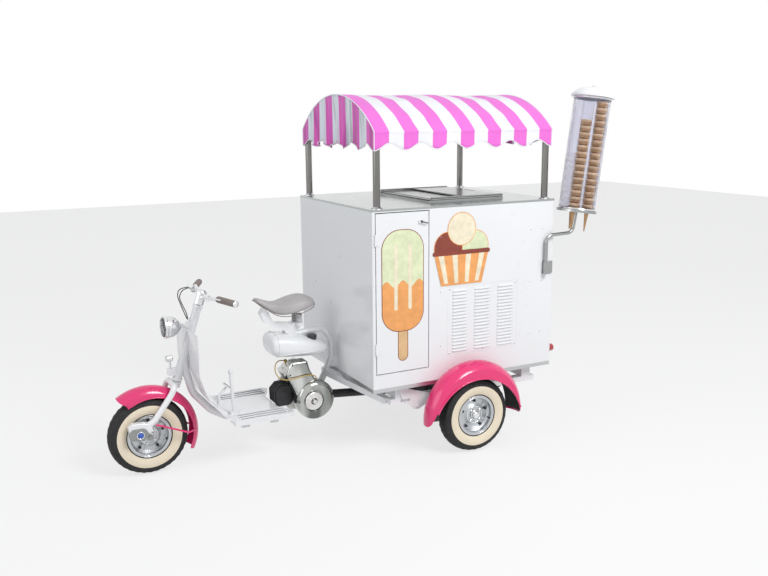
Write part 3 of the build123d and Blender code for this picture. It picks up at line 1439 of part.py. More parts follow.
# Handlebar: clamp on the stem, bent bar, levers and the dome
stem_top = head_tube_length + crown_gap
clamp_foot = on_steering(stem_top)
bar_middle = clamp_foot.origin + steering_axis * (clamp_height * 0.6)
with BuildPart() as handlebar:
    with BuildSketch(clamp_foot):
        Circle(clamp_radius)
    extrude(amount=clamp_height)
    with BuildSketch(on_steering(stem_top + clamp_height)):
        Circle(dome_radius)
    extrude(amount=dome_height)
    fillet(handlebar.faces().sort_by(Axis.Z)[-1].edges(), dome_height - 2)
    points = [at(bar_end_x, -bar_half_width, bar_z), at(bar_elbow_x, -bar_elbow_y, bar_z + 7)]
    points += [bar_middle, at(bar_elbow_x, bar_elbow_y, bar_z + 7), at(bar_end_x, bar_half_width, bar_z)]
    tube(points, [70, 300, 70], bar_radius)
    for outward in (1, -1):
        with BuildSketch(side(outward * 118)):
            with Locations((bar_middle.X - rear_axle_x, bar_z + 3)):
                Circle(bar_radius + 6)
        extrude(amount=-outward * 34)
        tube([at(bar_elbow_x + 16, outward * 136, bar_z + 6), at(bar_elbow_x + 52, outward * 150, bar_z + 14),
              at(bar_elbow_x + 10, outward * 300, bar_z + 22)], [18], lever_radius)
handlebar.part.label = "handlebar"
export_step(handlebar.part, "parts/handlebar.step")

# Control cables from the right lever down to the stops on the head tube
with BuildPart() as control_cables:
    for path in cable_paths:
        radii = cord_radii(path)
        print("cable", [round(radius) for radius in radii])
        tube(path, radii, cable_radius)
    add(handlebar.part, mode=Mode.SUBTRACT)
    add(main_frame.part, mode=Mode.SUBTRACT)
control_cables.part.label = "control_cables"
export_step(control_cables.part, "parts/control_cables.step")

# Grips on the bar's ends
with BuildPart() as grips:
    for outward in (1, -1):
        bar_end = at(bar_end_x, outward * bar_half_width, bar_z)
        bar_elbow = at(bar_elbow_x, outward * bar_elbow_y, bar_z + 7)
        inward = (bar_elbow - bar_end).normalized()
        with BuildSketch(Plane(origin=bar_end, z_dir=inward)):
            Circle(grip_radius)
            Circle(bar_radius, mode=Mode.SUBTRACT)
        extrude(amount=grip_length)
        with BuildSketch(Plane(origin=bar_end, z_dir=inward)):
            Circle(grip_radius)
        extrude(amount=-8)
grips.part.label = "grips"
export_step(grips.part, "parts/grips.step")
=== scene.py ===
"""Looks of the three-wheeled ice cream cart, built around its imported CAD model.

Everything is in metres in the CAD's frame: +X forward, +Y to the vehicle's left, +Z up, with the
origin on the ground. Stations are given forward of the rear axle, and at() moves them there.
"""

from math import asin, cos, pi, radians, sin, sqrt

import bmesh
import bpy
from mathutils import Matrix, Vector
from mathutils.bvhtree import BVHTree
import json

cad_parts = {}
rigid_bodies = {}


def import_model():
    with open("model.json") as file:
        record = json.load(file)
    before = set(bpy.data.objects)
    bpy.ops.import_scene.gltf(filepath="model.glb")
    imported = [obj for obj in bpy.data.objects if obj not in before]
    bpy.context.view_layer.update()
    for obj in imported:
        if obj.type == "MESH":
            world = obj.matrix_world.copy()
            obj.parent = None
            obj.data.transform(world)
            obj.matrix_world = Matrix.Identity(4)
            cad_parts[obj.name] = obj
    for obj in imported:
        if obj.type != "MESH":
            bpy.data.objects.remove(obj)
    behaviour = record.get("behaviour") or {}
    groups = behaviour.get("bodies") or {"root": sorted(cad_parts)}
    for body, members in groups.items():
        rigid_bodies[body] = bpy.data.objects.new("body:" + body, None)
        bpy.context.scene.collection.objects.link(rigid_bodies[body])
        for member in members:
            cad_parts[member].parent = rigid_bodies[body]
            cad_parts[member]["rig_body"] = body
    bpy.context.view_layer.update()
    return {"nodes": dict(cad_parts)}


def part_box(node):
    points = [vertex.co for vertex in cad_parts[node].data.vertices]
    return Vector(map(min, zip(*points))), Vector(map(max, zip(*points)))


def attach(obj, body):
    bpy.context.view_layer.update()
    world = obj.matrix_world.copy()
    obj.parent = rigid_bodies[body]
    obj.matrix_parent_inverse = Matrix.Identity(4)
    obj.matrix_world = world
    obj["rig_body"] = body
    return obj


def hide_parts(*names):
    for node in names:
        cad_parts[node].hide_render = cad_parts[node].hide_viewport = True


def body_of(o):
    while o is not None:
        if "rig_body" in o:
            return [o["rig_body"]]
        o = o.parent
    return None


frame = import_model()

REAR_AXLE = -0.466
WHEELBASE = 1.664
AXLE_HEIGHT = 0.2075
REAR_WHEEL_OUT = 0.55
BOX_SIDE = 0.482
BOX_TOP = 1.366
HOOP_SPACING = 0.533
FORWARD, LEFT, UP = Vector((1, 0, 0)), Vector((0, 1, 0)), Vector((0, 0, 1))
# Name, station and middle of each wheel, and the side that its disc faces
WHEELS = [("front", WHEELBASE, 0.0, 1), ("rear_left", 0.0, REAR_WHEEL_OUT, 1),
          ("rear_right", 0.0, -REAR_WHEEL_OUT, -1)]


def at(x, y, z):
    """Point from its distance forward of the rear axle."""
    return Vector((REAR_AXLE + x, y, z))


def round_axle(x, y, radius, turn):
    """Point at a radius and an angle from forward, round an axle."""
    return at(x + radius * cos(turn), y, AXLE_HEIGHT + radius * sin(turn))


def new_object(name, data):
    made = bpy.data.objects.new(name, data)
    bpy.context.scene.collection.objects.link(made)
    return made


# Camera: where the photograph was taken from

heading, tilt, roll = radians(-117.39), radians(-11.52), radians(-0.45)
forward = Vector((cos(tilt) * cos(heading), cos(tilt) * sin(heading), sin(tilt)))
right = forward.cross(UP).normalized()
axes = Matrix((right, right.cross(forward), -forward)).transposed().to_4x4()
data = bpy.data.cameras.new("camera")
data.lens = 40.1
camera = new_object("camera", data)
camera.matrix_world = Matrix.Translation((2.047, 4.341, 1.844)) @ axes @ Matrix.Rotation(roll, 4, "Z")
bpy.context.scene.camera = camera


# Materials

def shader_of(material):
    return material.node_tree.nodes["Principled BSDF"]


def new_material(name, colour, roughness, **inputs):
    """New material; its other shader inputs are given by name, with _ for a space."""
    material = bpy.data.materials.new(name)
    material.use_nodes = True
    inputs.update(Base_Color=(*colour, 1), Roughness=roughness)
    for socket, value in inputs.items():
        shader_of(material).inputs[socket.replace("_", " ")].default_value = value
    return material


def add_node(tree, kind, *inputs, **settings):
    """New node: inputs fill its sockets in order, and settings a socket or a property by name."""
    node = tree.nodes.new("ShaderNode" + kind)
    fills = list(zip(node.inputs, inputs))
    for name, value in settings.items():
        if name in node.inputs:
            fills.append((node.inputs[name], value))
        else:
            setattr(node, name, value)
    for socket, value in fills:
        if isinstance(value, bpy.types.NodeSocket):
            tree.links.new(value, socket)
        else:
            socket.default_value = value
    return node


def connect(material, output, socket):
    material.node_tree.links.new(output, shader_of(material).inputs[socket])


def texture(material, kind, scale, stretch=(1, 1, 1), centre=(0, 0, 0), **settings):
    """Value output of a texture in the object's own coordinates, the frame's metres."""
    tree = material.node_tree
    place = add_node(tree, "TexCoord").outputs["Object"]
    mapping = add_node(tree, "Mapping", place, Scale=[scale * s for s in stretch],
                       Location=[-scale * s * c for s, c in zip(stretch, centre)])
    return add_node(tree, kind, Vector=mapping.outputs[0], Scale=1.0, **settings).outputs[0]


def noise(material, scale, detail=3.0, stretch=(1, 1, 1)):
    return texture(material, "TexNoise", scale, stretch, Detail=detail)


def waves(material, scale, direction, distortion=0.0, stretch=(1, 1, 1)):
    return texture(material, "TexWave", scale, stretch, bands_direction=direction, Distortion=distortion)


def combine(tree, first, second, operation):
    return add_node(tree, "Math", first, second, operation=operation).outputs[0]


def tint(material, value, stops):
    """Base colour from a value through colour stops (position, colour)."""
    ramp = add_node(material.node_tree, "ValToRGB", value)
    elements = ramp.color_ramp.elements
    while len(elements) < len(stops):
        elements.new(0.5)
    for element, (position, colour) in zip(elements, stops):
        element.position = position
        element.color = (*colour, 1)
    connect(material, ramp.outputs["Color"], "Base Color")


def shades(material, value, colour, *stops):
    """Base colour from a value through stops (position, factor on the colour)."""
    tint(material, value, [(place, [min(1.0, c * factor) for c in colour]) for place, factor in stops])


def mottle(material, colour, scale, dark, detail=4.0, edges=(0.3, 0.7)):
    """Patches that drift from a darker shade to the colour itself."""
    shades(material, noise(material, scale, detail), colour, (edges[0], dark), (edges[1], 1))


def rough(material, value, low, high):
    ranged = add_node(material.node_tree, "MapRange", value, 0.3, 0.7, low, high)
    connect(material, ranged.outputs[0], "Roughness")


def bump(material, height, distance, strength):
    node = add_node(material.node_tree, "Bump", Height=height, Distance=distance, Strength=strength)
    connect(material, node.outputs[0], "Normal")


def paint(name, colour, roughness=0.22, dirt=0.985):
    """Sprayed gloss paint: faint orange peel, slow colour drift and a little dulled dirt."""
    material = new_material(name, colour, roughness, Coat_Weight=0.5, Coat_Roughness=0.08)
    drift = noise(material, 2.2, 2.0)
    shades(material, drift, colour, (0.30, dirt - 0.015), (0.52, dirt), (0.72, 1))
    rough(material, noise(material, 9, 2.0), roughness - 0.03, roughness + 0.06)
    bump(material, noise(material, 180, 1.0), 0.0003, 0.12)
    return material


def brushed(name, colour, along=(1, 1, 1), roughness=0.30):
    """Brushed metal: fine scratches stretched along one direction."""
    material = new_material(name, colour, roughness, Metallic=1.0)
    scratches = noise(material, 240, 4.0, along)
    mottle(material, colour, 5, 0.90)
    rough(material, scratches, roughness - 0.07, roughness + 0.12)
    bump(material, scratches, 0.0004, 0.18)
    return material


def polished(name, colour, roughness=0.08):
    material = new_material(name, colour, roughness, Metallic=1.0)
    mottle(material, colour, 18, 0.88, edges=(0.35, 0.65))
    rough(material, noise(material, 40, 5.0), roughness - 0.03, roughness + 0.10)
    return material


def cast(name, colour, metallic, roughness):
    """Sand-cast metal with grain and oily patches."""
    material = new_material(name, colour, roughness, Metallic=metallic)
    patches = noise(material, 16, 6.0)
    shades(material, patches, colour, (0.32, 0.55), (0.5, 0.88), (0.7, 1))
    rough(material, patches, roughness - 0.08, roughness + 0.15)
    bump(material, noise(material, 420, 2.0), 0.0007, 0.45)
    return material


def rubber(name, colour):
    material = new_material(name, colour, 0.75)
    shades(material, noise(material, 30, 5.0), colour, (0.3, 0.7), (0.7, 1.35))
    rough(material, noise(material, 60), 0.62, 0.85)
    bump(material, noise(material, 500, 2.0), 0.0005, 0.4)
    return material


def cloth(name, colour):
    """Coated canvas: plain weave, soft sheen, and a little colour drift."""
    material = new_material(name, colour, 0.72, Sheen_Weight=0.25, Sheen_Roughness=0.5)
    mottle(material, colour, 7, 0.93)
    warp, weft = (waves(material, 130, direction, 0.3) for direction in ("X", "DIAGONAL"))
    bump(material, combine(material.node_tree, warp, weft, "MULTIPLY"), 0.0008, 0.5)
    return material


def gathered(name, colour):
    """Canvas that hangs in folds: plain weave with painted shade in soft upright streaks, for the shadows of
    its folds.
    """
    material = cloth(name, colour)
    streaks = noise(material, 26, 2.0, (1, 1, 0.06))
    shades(material, streaks, colour, (0.36, 0.62), (0.46, 0.90), (0.60, 1))
    return material


def soft_plastic(name, colour, roughness, change=0.94):
    """Moulded rubber or plastic of one even colour with a fine skin."""
    material = new_material(name, colour, roughness)
    mottle(material, colour, 8, change, detail=3.0)
    rough(material, noise(material, 30), roughness - 0.06, roughness + 0.10)
    bump(material, noise(material, 420, 2.0), 0.0004, 0.25)
    return material


def turned(name, colour, centre, scale, direction):
    """Lathe-turned metal: fine rings about a centre."""
    material = new_material(name, colour, 0.22, Metallic=1.0)
    rings = texture(material, "TexWave", scale, centre=centre, wave_type="RINGS",
                    rings_direction=direction, Distortion=0.2)
    shades(material, rings, colour, (0.2, 0.86), (0.8, 1))
    rough(material, noise(material, 40, 4.0), 0.14, 0.30)
    bump(material, rings, 0.0006, 0.5)
    return material


def leather(name, colour):
    material = new_material(name, colour, 0.48)
    mottle(material, colour, 11, 0.88, detail=5.0)
    grain = texture(material, "TexVoronoi", 340, feature="SMOOTH_F1")
    rough(material, noise(material, 25), 0.40, 0.60)
    bump(material, grain, 0.0008, 0.5)
    return material


def clear(name, colour, roughness, alpha):
    """Clear plastic or glass, thin enough to be shown by its transparency."""
    material = new_material(name, colour, roughness, Transmission_Weight=1.0, IOR=1.2, Alpha=alpha)
    bump(material, noise(material, 30, 1.0), 0.0006, 0.1)
    return material


def wafer(name, colour):
    """Baked wafer: crossed ridges and toasted patches."""
    material = new_material(name, colour, 0.8)
    shades(material, noise(material, 38, 4.0), colour, (0.3, 0.78), (0.5, 1), (0.72, 1.15))
    one = waves(material, 55, "Z", 0.4)
    other = waves(material, 55, "DIAGONAL", 0.4, (1, -1, 0.6))
    bump(material, combine(material.node_tree, one, other, "MAXIMUM"), 0.002, 0.7)
    return material


STEEL = (0.60, 0.61, 0.62)

white_paint = paint("white_paint", (0.84, 0.85, 0.86))
box_paint = paint("box_paint", (0.83, 0.84, 0.85), 0.30)
pink_paint = paint("pink_paint", (0.80, 0.022, 0.17), 0.18, 0.96)
rim_metal = brushed("rim_metal", (0.56, 0.58, 0.60), (1, 1, 1), 0.36)
steel_long = brushed("steel_long", STEEL, (0.05, 1, 1))
steel_upright = brushed("steel_upright", STEEL, (1, 1, 0.05), 0.26)
# post_steel, lid_steel and top_steel are darker copies of the steel, and top_steel is a little green: painted
# reflections of the dark green surroundings.
post_steel = brushed("post_steel", (0.24, 0.235, 0.225), (1, 1, 0.05), 0.16)
lid_steel = brushed("lid_steel", (0.42, 0.43, 0.43), (0.05, 1, 1), 0.20)
top_steel = brushed("top_steel", (0.50, 0.53, 0.52), (0.05, 1, 1), 0.16)
chrome = polished("chrome", (0.78, 0.79, 0.80))
alloy = cast("alloy", (0.66, 0.66, 0.64), 1.0, 0.30)
bright_alloy = polished("bright_alloy", (0.50, 0.51, 0.49), 0.10)
# The bright alloy's colour runs in dark and bright upright streaks: painted reflections on the polished cowl.
tint(bright_alloy, noise(bright_alloy, 9, 1.5, (1, 1, 0.35)),
     [(0.38, (0.16, 0.17, 0.16)), (0.50, (0.42, 0.43, 0.41)), (0.62, (0.66, 0.67, 0.65))])
smoked_chrome = polished("smoked_chrome", (0.34, 0.35, 0.34), 0.10)
dark_iron = cast("dark_iron", (0.045, 0.045, 0.048), 0.4, 0.50)
black_paint = paint("black_paint", (0.03, 0.03, 0.032), 0.35)
rubber_black = rubber("rubber_black", (0.013, 0.013, 0.014))
whitewall = soft_plastic("whitewall", (0.84, 0.74, 0.57), 0.6)
grip_rubber = soft_plastic("grip_rubber", (0.25, 0.21, 0.19), 0.6)
lead_gold = soft_plastic("lead_gold", (0.46, 0.32, 0.08), 0.4)
blue_plastic = soft_plastic("blue_plastic", (0.05, 0.12, 0.50), 0.3)
saddle_leather = leather("saddle_leather", (0.45, 0.43, 0.43))
turned_alloy = turned("turned_alloy", (0.80, 0.80, 0.79), (0.318, 0, 0.289), 180, "Y")
canopy_pink = cloth("canopy_pink", (0.88, 0.17, 0.70))
canopy_white = cloth("canopy_white", (0.90, 0.90, 0.93))
# gable_white is a bluer, brighter copy of canopy_white: painted light on the gables, which stand in shade.
gable_white = gathered("gable_white", (0.88, 0.94, 1.0))
gable_pink = gathered("gable_pink", (0.88, 0.15, 0.62))
clear_plastic = clear("clear_plastic", (0.76, 0.76, 0.84), 0.03, 0.60)
guide_plastic = clear("guide_plastic", (0.78, 0.78, 0.86), 0.05, 0.40)
lamp_glass = clear("lamp_glass", (0.95, 0.97, 1.0), 0.04, 0.75)
bump(lamp_glass, waves(lamp_glass, 70, "Y"), 0.002, 0.5)
red_glass = new_material("red_glass", (0.42, 0.01, 0.02), 0.15, Coat_Weight=0.8)
bump(red_glass, waves(red_glass, 90, "Z"), 0.001, 0.4)
wafer_brown = wafer("wafer_brown", (0.66, 0.40, 0.20))
# The darker wafer brown is painted shade in the gaps between the nested cones.
wafer_gap_shade = soft_plastic("wafer_gap_shade", (0.30, 0.13, 0.05), 0.8, 0.8)
wafer_pale = soft_plastic("wafer_pale", (0.86, 0.62, 0.38), 0.8, 0.85)
# Near black: painted shade in the louvres' slots and the lid frame's tracks, and the dark lines beside the
# footboard's ribs.
dark_gap = paint("dark_gap", (0.015, 0.015, 0.016), 0.6)
# A near-black sheet for the inside of the rear mudguards' arch.
arch_lining_black = rubber("arch_lining_black", (0.030, 0.030, 0.032))

node_materials = {
    white_paint: "chassis_rails chassis_crossbars chassis_arms main_frame leg_shield footboard engine_loop "
                 "fork seat_bracket hand_lever brake_pedal dispenser_lid",
    turned_alloy: "flywheel",
    lead_gold: "spark_lead",
    rubber_black: "control_cables",
    box_paint: "box_front box_rear box_left box_right side_door",
    pink_paint: "rear_mudguards front_mudguard",
    rim_metal: "front_wheel rear_left_wheel rear_right_wheel",
    steel_long: "box_floor frozen_well canopy_rails",
    steel_upright: "canopy_hoops exhaust",
    post_steel: "canopy_posts",
    lid_steel: "lid_frame lower_lid upper_lid dispenser_arm",
    top_steel: "box_top",
    chrome: "handlebar headlamp side_lamp",
    smoked_chrome: "front_links",
    alloy: "engine_case",
    bright_alloy: "engine_cowl",
    dark_iron: "rear_axle leaf_springs carburettor cooling_unit",
    black_paint: "tank_cap",
    grip_rubber: "grips",
    clear_plastic: "dispenser_tube",
    lamp_glass: "headlamp_lens",
    red_glass: "tail_lamps",
}
for material, nodes in node_materials.items():
    for node in nodes.split():
        for slot in frame["nodes"][node].material_slots:
            slot.material = material


# Mesh helpers

CLING_REACH = 0.3


def add_piece(name, data, slot):
    """New object that rides on the body of its slot's node."""
    made = new_object(name, data)
    body = body_of(frame["nodes"][slot])[0]
    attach(made, body)
    return made


def piece(name, slot, build, materials, smooth=True):
    """New mesh piece, which build fills as a bmesh."""
    mesh = bpy.data.meshes.new(name)
    bm = bmesh.new()
    build(bm)
    bmesh.ops.recalc_face_normals(bm, faces=bm.faces)
    for face in bm.faces:
        face.smooth = smooth
    bm.to_mesh(mesh)
    bm.free()
    for material in materials:
        mesh.materials.append(material)
    return add_piece(name, mesh, slot)


def modify(made, kind, **settings):
    modifier = made.modifiers.new(kind.lower(), kind)
    for setting, value in settings.items():
        setattr(modifier, setting, value)


def grid(bm, rows, material_of=None, closed_rows=False, closed_columns=False, capped=False):
    """Quads between rows of points; material_of(row, column) gives a face's material index."""
    verts = [[bm.verts.new(point) for point in row] for row in rows]
    last_row = len(verts) if closed_rows else len(verts) - 1
    for i in range(last_row):
        here, there = verts[i], verts[(i + 1) % len(verts)]
        last_column = len(here) if closed_columns else len(here) - 1
        for j in range(last_column):
            k = (j + 1) % len(here)
            face = bm.faces.new((here[j], here[k], there[k], there[j]))
            if material_of:
                face.material_index = material_of(i, j)
    for row in (verts[0], verts[-1]) if capped else ():
        bm.faces.new(row)
    return verts


def around(axis, steps):
    """Directions in even steps round an axis."""
    side = axis.orthogonal().normalized()
    other = axis.cross(side)
    return [side * cos(2 * pi * k / steps) + other * sin(2 * pi * k / steps) for k in range(steps)]


def lathe(bm, origin, axis, profile, segments=48, material=0):
    """Turn points (distance along, radius) about an axis; material is one index, or one for each point."""
    axis = axis.normalized()
    rows = [[origin + axis * along + out * radius for along, radius in profile]
            for out in around(axis, segments)]
    grid(bm, rows, lambda i, j: material[j] if isinstance(material, list) else material, closed_rows=True)
    bmesh.ops.remove_doubles(bm, verts=bm.verts, dist=0.000002)


def turned_piece(name, slot, lathes, materials, smooth=True):
    """New piece of turned surfaces, each given as lathe's arguments."""
    def build(bm):
        for arguments in lathes:
            lathe(bm, *arguments)
    return piece(name, slot, build, materials, smooth)


def circle(origin, axis, radius, steps):
    """Closed run of points round an axis."""
    outs = around(axis.normalized(), steps)
    return [origin + out * radius for out in outs + outs[:1]]


def cling(node, points, look, out):
    """Points moved along a direction onto a CAD node's faces, and a distance off them."""
    bm = bmesh.new()
    bm.from_mesh(frame["nodes"][node].data)
    tree = BVHTree.FromBMesh(bm)
    bm.free()
    spots = [tree.ray_cast(point - look * CLING_REACH, look, 2 * CLING_REACH)[0] for point in points]
    return [spot - look * out for spot in spots if spot]


def line_piece(name, slot, runs, radius, material):
    """Rounded bead along polylines, such as piping."""
    curve = bpy.data.curves.new(name, "CURVE")
    curve.dimensions = "3D"
    curve.bevel_depth = radius
    curve.bevel_resolution = 3
    curve.use_fill_caps = True
    for points in runs:
        spline = curve.splines.new("POLY")
        spline.points.add(len(points) - 1)
        for spot, point in zip(spline.points, points):
            spot.co = (*point, 1)
    curve.materials.append(material)
    add_piece(name, curve, slot)


# Tyres: whitewalls on both sides and zigzag grooves in the tread

TYRE_TURNS = 144
TREAD_STEPS = 22
TREAD_GROOVES = (4, 8, 13, 17)
TREAD_HALF_WIDTH = 0.040
TREAD_CROWN = 0.0115
GROOVE_DEPTH = 0.006
ZIGZAG = 0.0025
NOTCH_DEPTH = 0.0025
NOTCHES_FROM = 0.19
BEAD_RADIUS = 0.113
SHOULDER_RADIUS = 0.196
WHITE_BAND = (0.115, 0.166)


def tyre_profile():
    """Points (out, radius, part) from bead to bead: part is 'wall', 'white' or 'tread'."""
    points = []
    for step in range(13):
        share = step / 12
        radius = BEAD_RADIUS + (SHOULDER_RADIUS - BEAD_RADIUS) * share
        out = 0.036 + 0.0142 * sin(pi * min(1.0, share * 1.06)) ** 0.8 + 0.004 * share
        points.append((out, radius, "white" if WHITE_BAND[0] < radius < WHITE_BAND[1] else "wall"))
    for step in range(1, TREAD_STEPS):
        out = TREAD_HALF_WIDTH - 2 * TREAD_HALF_WIDTH * step / TREAD_STEPS
        radius = SHOULDER_RADIUS + TREAD_CROWN * (1 - (out / TREAD_HALF_WIDTH) ** 2)
        groove = GROOVE_DEPTH if step in TREAD_GROOVES else 0
        points.append((out, radius - groove, "tread"))
    return points + [(-out, radius, part) for out, radius, part in reversed(points[:13])]


def build_tyre(bm, x, y):
    profile = tyre_profile()
    rows = []
    for turn in range(TYRE_TURNS):
        zigzag = ZIGZAG * (1 if turn % 4 < 2 else -1)
        row = []
        for out, radius, part in profile:
            shift = zigzag if part == "tread" else 0
            notch = NOTCH_DEPTH if part == "wall" and radius > NOTCHES_FROM and turn % 4 == 0 else 0
            row.append(round_axle(x, y + out + shift, radius - notch, 2 * pi * turn / TYRE_TURNS))
        rows.append(row)
    grid(bm, rows, lambda i, j: 1 if profile[j][2] == "white" else 0, closed_rows=True)


for side, x, y, face in WHEELS:
    tyre = piece(f"{side}_tyre_tread", f"{side}_tyre", lambda bm: build_tyre(bm, x, y),
                 [rubber_black, whitewall])
    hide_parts(f"{side}_tyre")


# Canopy: one striped sheet over the hoops, with a scalloped valance and gathered gables

CANOPY_HALF_LENGTH = 0.556
CANOPY_HALF_WIDTH = 0.468
EAVE = 1.757
RIDGE = 1.948
STRIPES = 13
GABLE_STRIPES = 11
STRIPE_STEPS = 8
PIPING_STEPS = 120
SCALLOP_LOW = 1.661
SCALLOP_HIGH = 1.698
RAIL_TURN = radians(17)
ARCH_RADIUS = (CANOPY_HALF_WIDTH ** 2 + (RIDGE - EAVE) ** 2) / (2 * (RIDGE - EAVE))
ARCH_CENTRE = RIDGE - ARCH_RADIUS
ARCH_HALF_TURN = asin(CANOPY_HALF_WIDTH / ARCH_RADIUS)
VALANCE_SHARES = (0.06, 0.12, 0.20, 0.36, 0.52, 0.68, 0.84, 1.0)


def spaced(half, count):
    """Values in even steps from -half to half."""
    return [-half + 2 * half * k / count for k in range(count + 1)]


def arch_point(x, turn):
    """Point of the stretched sheet: it dips between hoops, and a little more between rails."""
    between_hoops = sin(pi * x / HOOP_SPACING) ** 2 if abs(x) < HOOP_SPACING else 0
    dip = between_hoops * (0.005 + 0.0065 * sin(pi * turn / RAIL_TURN) ** 2)
    dip *= min(1.0, (ARCH_HALF_TURN - abs(turn)) / 0.12)
    radius = ARCH_RADIUS - dip
    return at(x, radius * sin(turn), ARCH_CENTRE + radius * cos(turn))


def scallop(distance, span, count):
    """Height of the valance's edge: lowest at both ends of the span."""
    wave = (1 - cos(2 * pi * count * distance / span)) / 2
    return SCALLOP_LOW + (SCALLOP_HIGH - SCALLOP_LOW) * wave


def valance_point(x, side, share):
    """Point of a side valance, share 0 at the eave and 1 at the scalloped edge."""
    foot = scallop(x + CANOPY_HALF_LENGTH, 2 * CANOPY_HALF_LENGTH, 6)
    flutter = 0.003 * share * sin(2 * pi * 6 * x / CANOPY_HALF_LENGTH)
    roll = 0.0030 * max(0.0, 1 - abs(share - 0.06) / 0.10)
    return at(x, side * (CANOPY_HALF_WIDTH - abs(flutter) + roll), EAVE + (foot - EAVE) * share)


def gable_point(y, end, share):
    """Point of a gable, share 0 on the arch and 1 at the scalloped edge, with gathered folds."""
    top = ARCH_CENTRE + sqrt(ARCH_RADIUS ** 2 - y ** 2)
    foot = scallop(y + CANOPY_HALF_WIDTH, 2 * CANOPY_HALF_WIDTH, 5)
    fold = 0.012 * sin(2 * pi * 5.5 * y / CANOPY_HALF_WIDTH) + 0.005 * sin(2 * pi * 13 * y + 0.8) - 0.007
    calm = max(0.0, min(1.0, (0.40 - abs(y)) / 0.06))
    gather = 0.013 * sin(2 * pi * 5.5 * y / CANOPY_HALF_WIDTH + 1.2) * calm * share
    return at(end * (CANOPY_HALF_LENGTH + fold * calm * share ** 0.6), y + gather, top + (foot - top) * share)


def build_canopy(bm):
    turns = [ARCH_HALF_TURN * (1 - j / 20) for j in range(41)]
    rows = []
    for x in spaced(CANOPY_HALF_LENGTH, STRIPES * STRIPE_STEPS):
        row = [valance_point(x, 1, share) for share in reversed(VALANCE_SHARES)]
        row += [arch_point(x, turn) for turn in turns]
        row += [valance_point(x, -1, share) for share in VALANCE_SHARES]
        rows.append(row)
    grid(bm, rows, lambda i, j: (i // STRIPE_STEPS) % 2)
    for end in (1, -1):
        rows = [[gable_point(y, end, k / 12) for k in range(13)]
                for y in spaced(CANOPY_HALF_WIDTH, GABLE_STRIPES * STRIPE_STEPS)]
        grid(bm, rows, lambda i, j: 3 - (i // STRIPE_STEPS) % 2)
    bmesh.ops.remove_doubles(bm, verts=bm.verts, dist=0.0004)


canopy = piece("canopy_sheet", "canopy_cover", build_canopy,
               [canopy_pink, canopy_white, gable_white, gable_pink])
modify(canopy, "SOLIDIFY", thickness=0.0016, offset=-1)
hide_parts("canopy_cover")

piping_runs = []
for end in (1, -1):
    piping_runs += [
        [arch_point(end * CANOPY_HALF_LENGTH, ARCH_HALF_TURN * (1 - 2 * k / 60)) for k in range(61)],
        [gable_point(y, end, 1.0) for y in spaced(CANOPY_HALF_WIDTH, PIPING_STEPS)],
        [valance_point(x, end, 1.0) for x in spaced(CANOPY_HALF_LENGTH, PIPING_STEPS)],
    ]
    for side in (1, -1):
        piping_runs.append([valance_point(end * CANOPY_HALF_LENGTH, side, k / 4) for k in range(5)])
line_piece("canopy_piping", "canopy_cover", piping_runs, 0.0028, canopy_white)


# Saddle: a padded shell with a welt round its skirt

# Station of each section, with its top, its edge's height and its half width
SADDLE_STATIONS = [
    (0.7235, 0.834, 0.822, 0.038), (0.732, 0.846, 0.814, 0.070), (0.750, 0.857, 0.804, 0.092),
    (0.780, 0.8645, 0.793, 0.104), (0.815, 0.8625, 0.784, 0.110), (0.850, 0.856, 0.776, 0.110),
    (0.890, 0.846, 0.769, 0.099), (0.925, 0.839, 0.768, 0.080), (0.955, 0.839, 0.776, 0.064),
    (0.985, 0.848, 0.796, 0.053), (1.015, 0.861, 0.820, 0.044), (1.040, 0.869, 0.841, 0.038),
    (1.058, 0.868, 0.854, 0.028),
]


def saddle_row(x, top, edge, half_width):
    """One section from the left skirt's foot over the top to the right one."""
    row = []
    for step in range(17):
        turn = pi * step / 16
        across = cos(turn)
        y = half_width * (abs(across) ** 0.55) * (1 if across > 0 else -1)
        rise = sin(turn) ** 0.62
        row.append(at(x, y, edge + (top - edge) * rise))
    return row


def build_saddle(bm):
    verts = grid(bm, [saddle_row(*station) for station in SADDLE_STATIONS], capped=True)
    for here, there in zip(verts, verts[1:]):
        bm.faces.new((here[0], there[0], there[-1], here[-1]))


saddle = piece("saddle_cover", "saddle", build_saddle, [saddle_leather])
modify(saddle, "SUBSURF", levels=2, render_levels=2)
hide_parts("saddle")
welt_runs = [[at(x, side * half_width * 0.985, edge + 0.0015)
              for x, top, edge, half_width in SADDLE_STATIONS] for side in (1, -1)]
line_piece("saddle_welt", "saddle", welt_runs, 0.0024, grip_rubber)


# Artwork on the left side: a generic ice lolly on the door and a tub of scoops on the wall

PRINT_LINE = 0.004
PRINT_STEP = 0.0003


def decal(name, slot, outline, layer, material):
    """Flat print on the left side from an outline of (station, height), each layer a step higher."""
    def build(bm):
        face = bm.faces.new([bm.verts.new(at(x, BOX_SIDE + PRINT_STEP * layer, z)) for x, z in outline])
        bmesh.ops.triangulate(bm, faces=[face])
    piece(name, slot, build, [material], smooth=False)


def rounded_bar(x, z, half_width, half_height, corner):
    """Outline of an upright bar with rounded corners about a middle."""
    points = []
    for quarter, (side, level) in enumerate(((1, 1), (-1, 1), (-1, -1), (1, -1))):
        for step in range(11):
            angle = pi / 2 * (quarter + step / 10)
            points.append((x + (side * (half_width - corner) + corner * cos(angle)),
                           z + (level * (half_height - corner) + corner * sin(angle))))
    return points


def taper(top, foot, half_top, half_foot):
    """Outline that narrows from its top's middle to its foot's middle."""
    return [(top[0] - half_top, top[1]), (top[0] + half_top, top[1]),
            (foot[0] + half_foot, foot[1]), (foot[0] - half_foot, foot[1])]


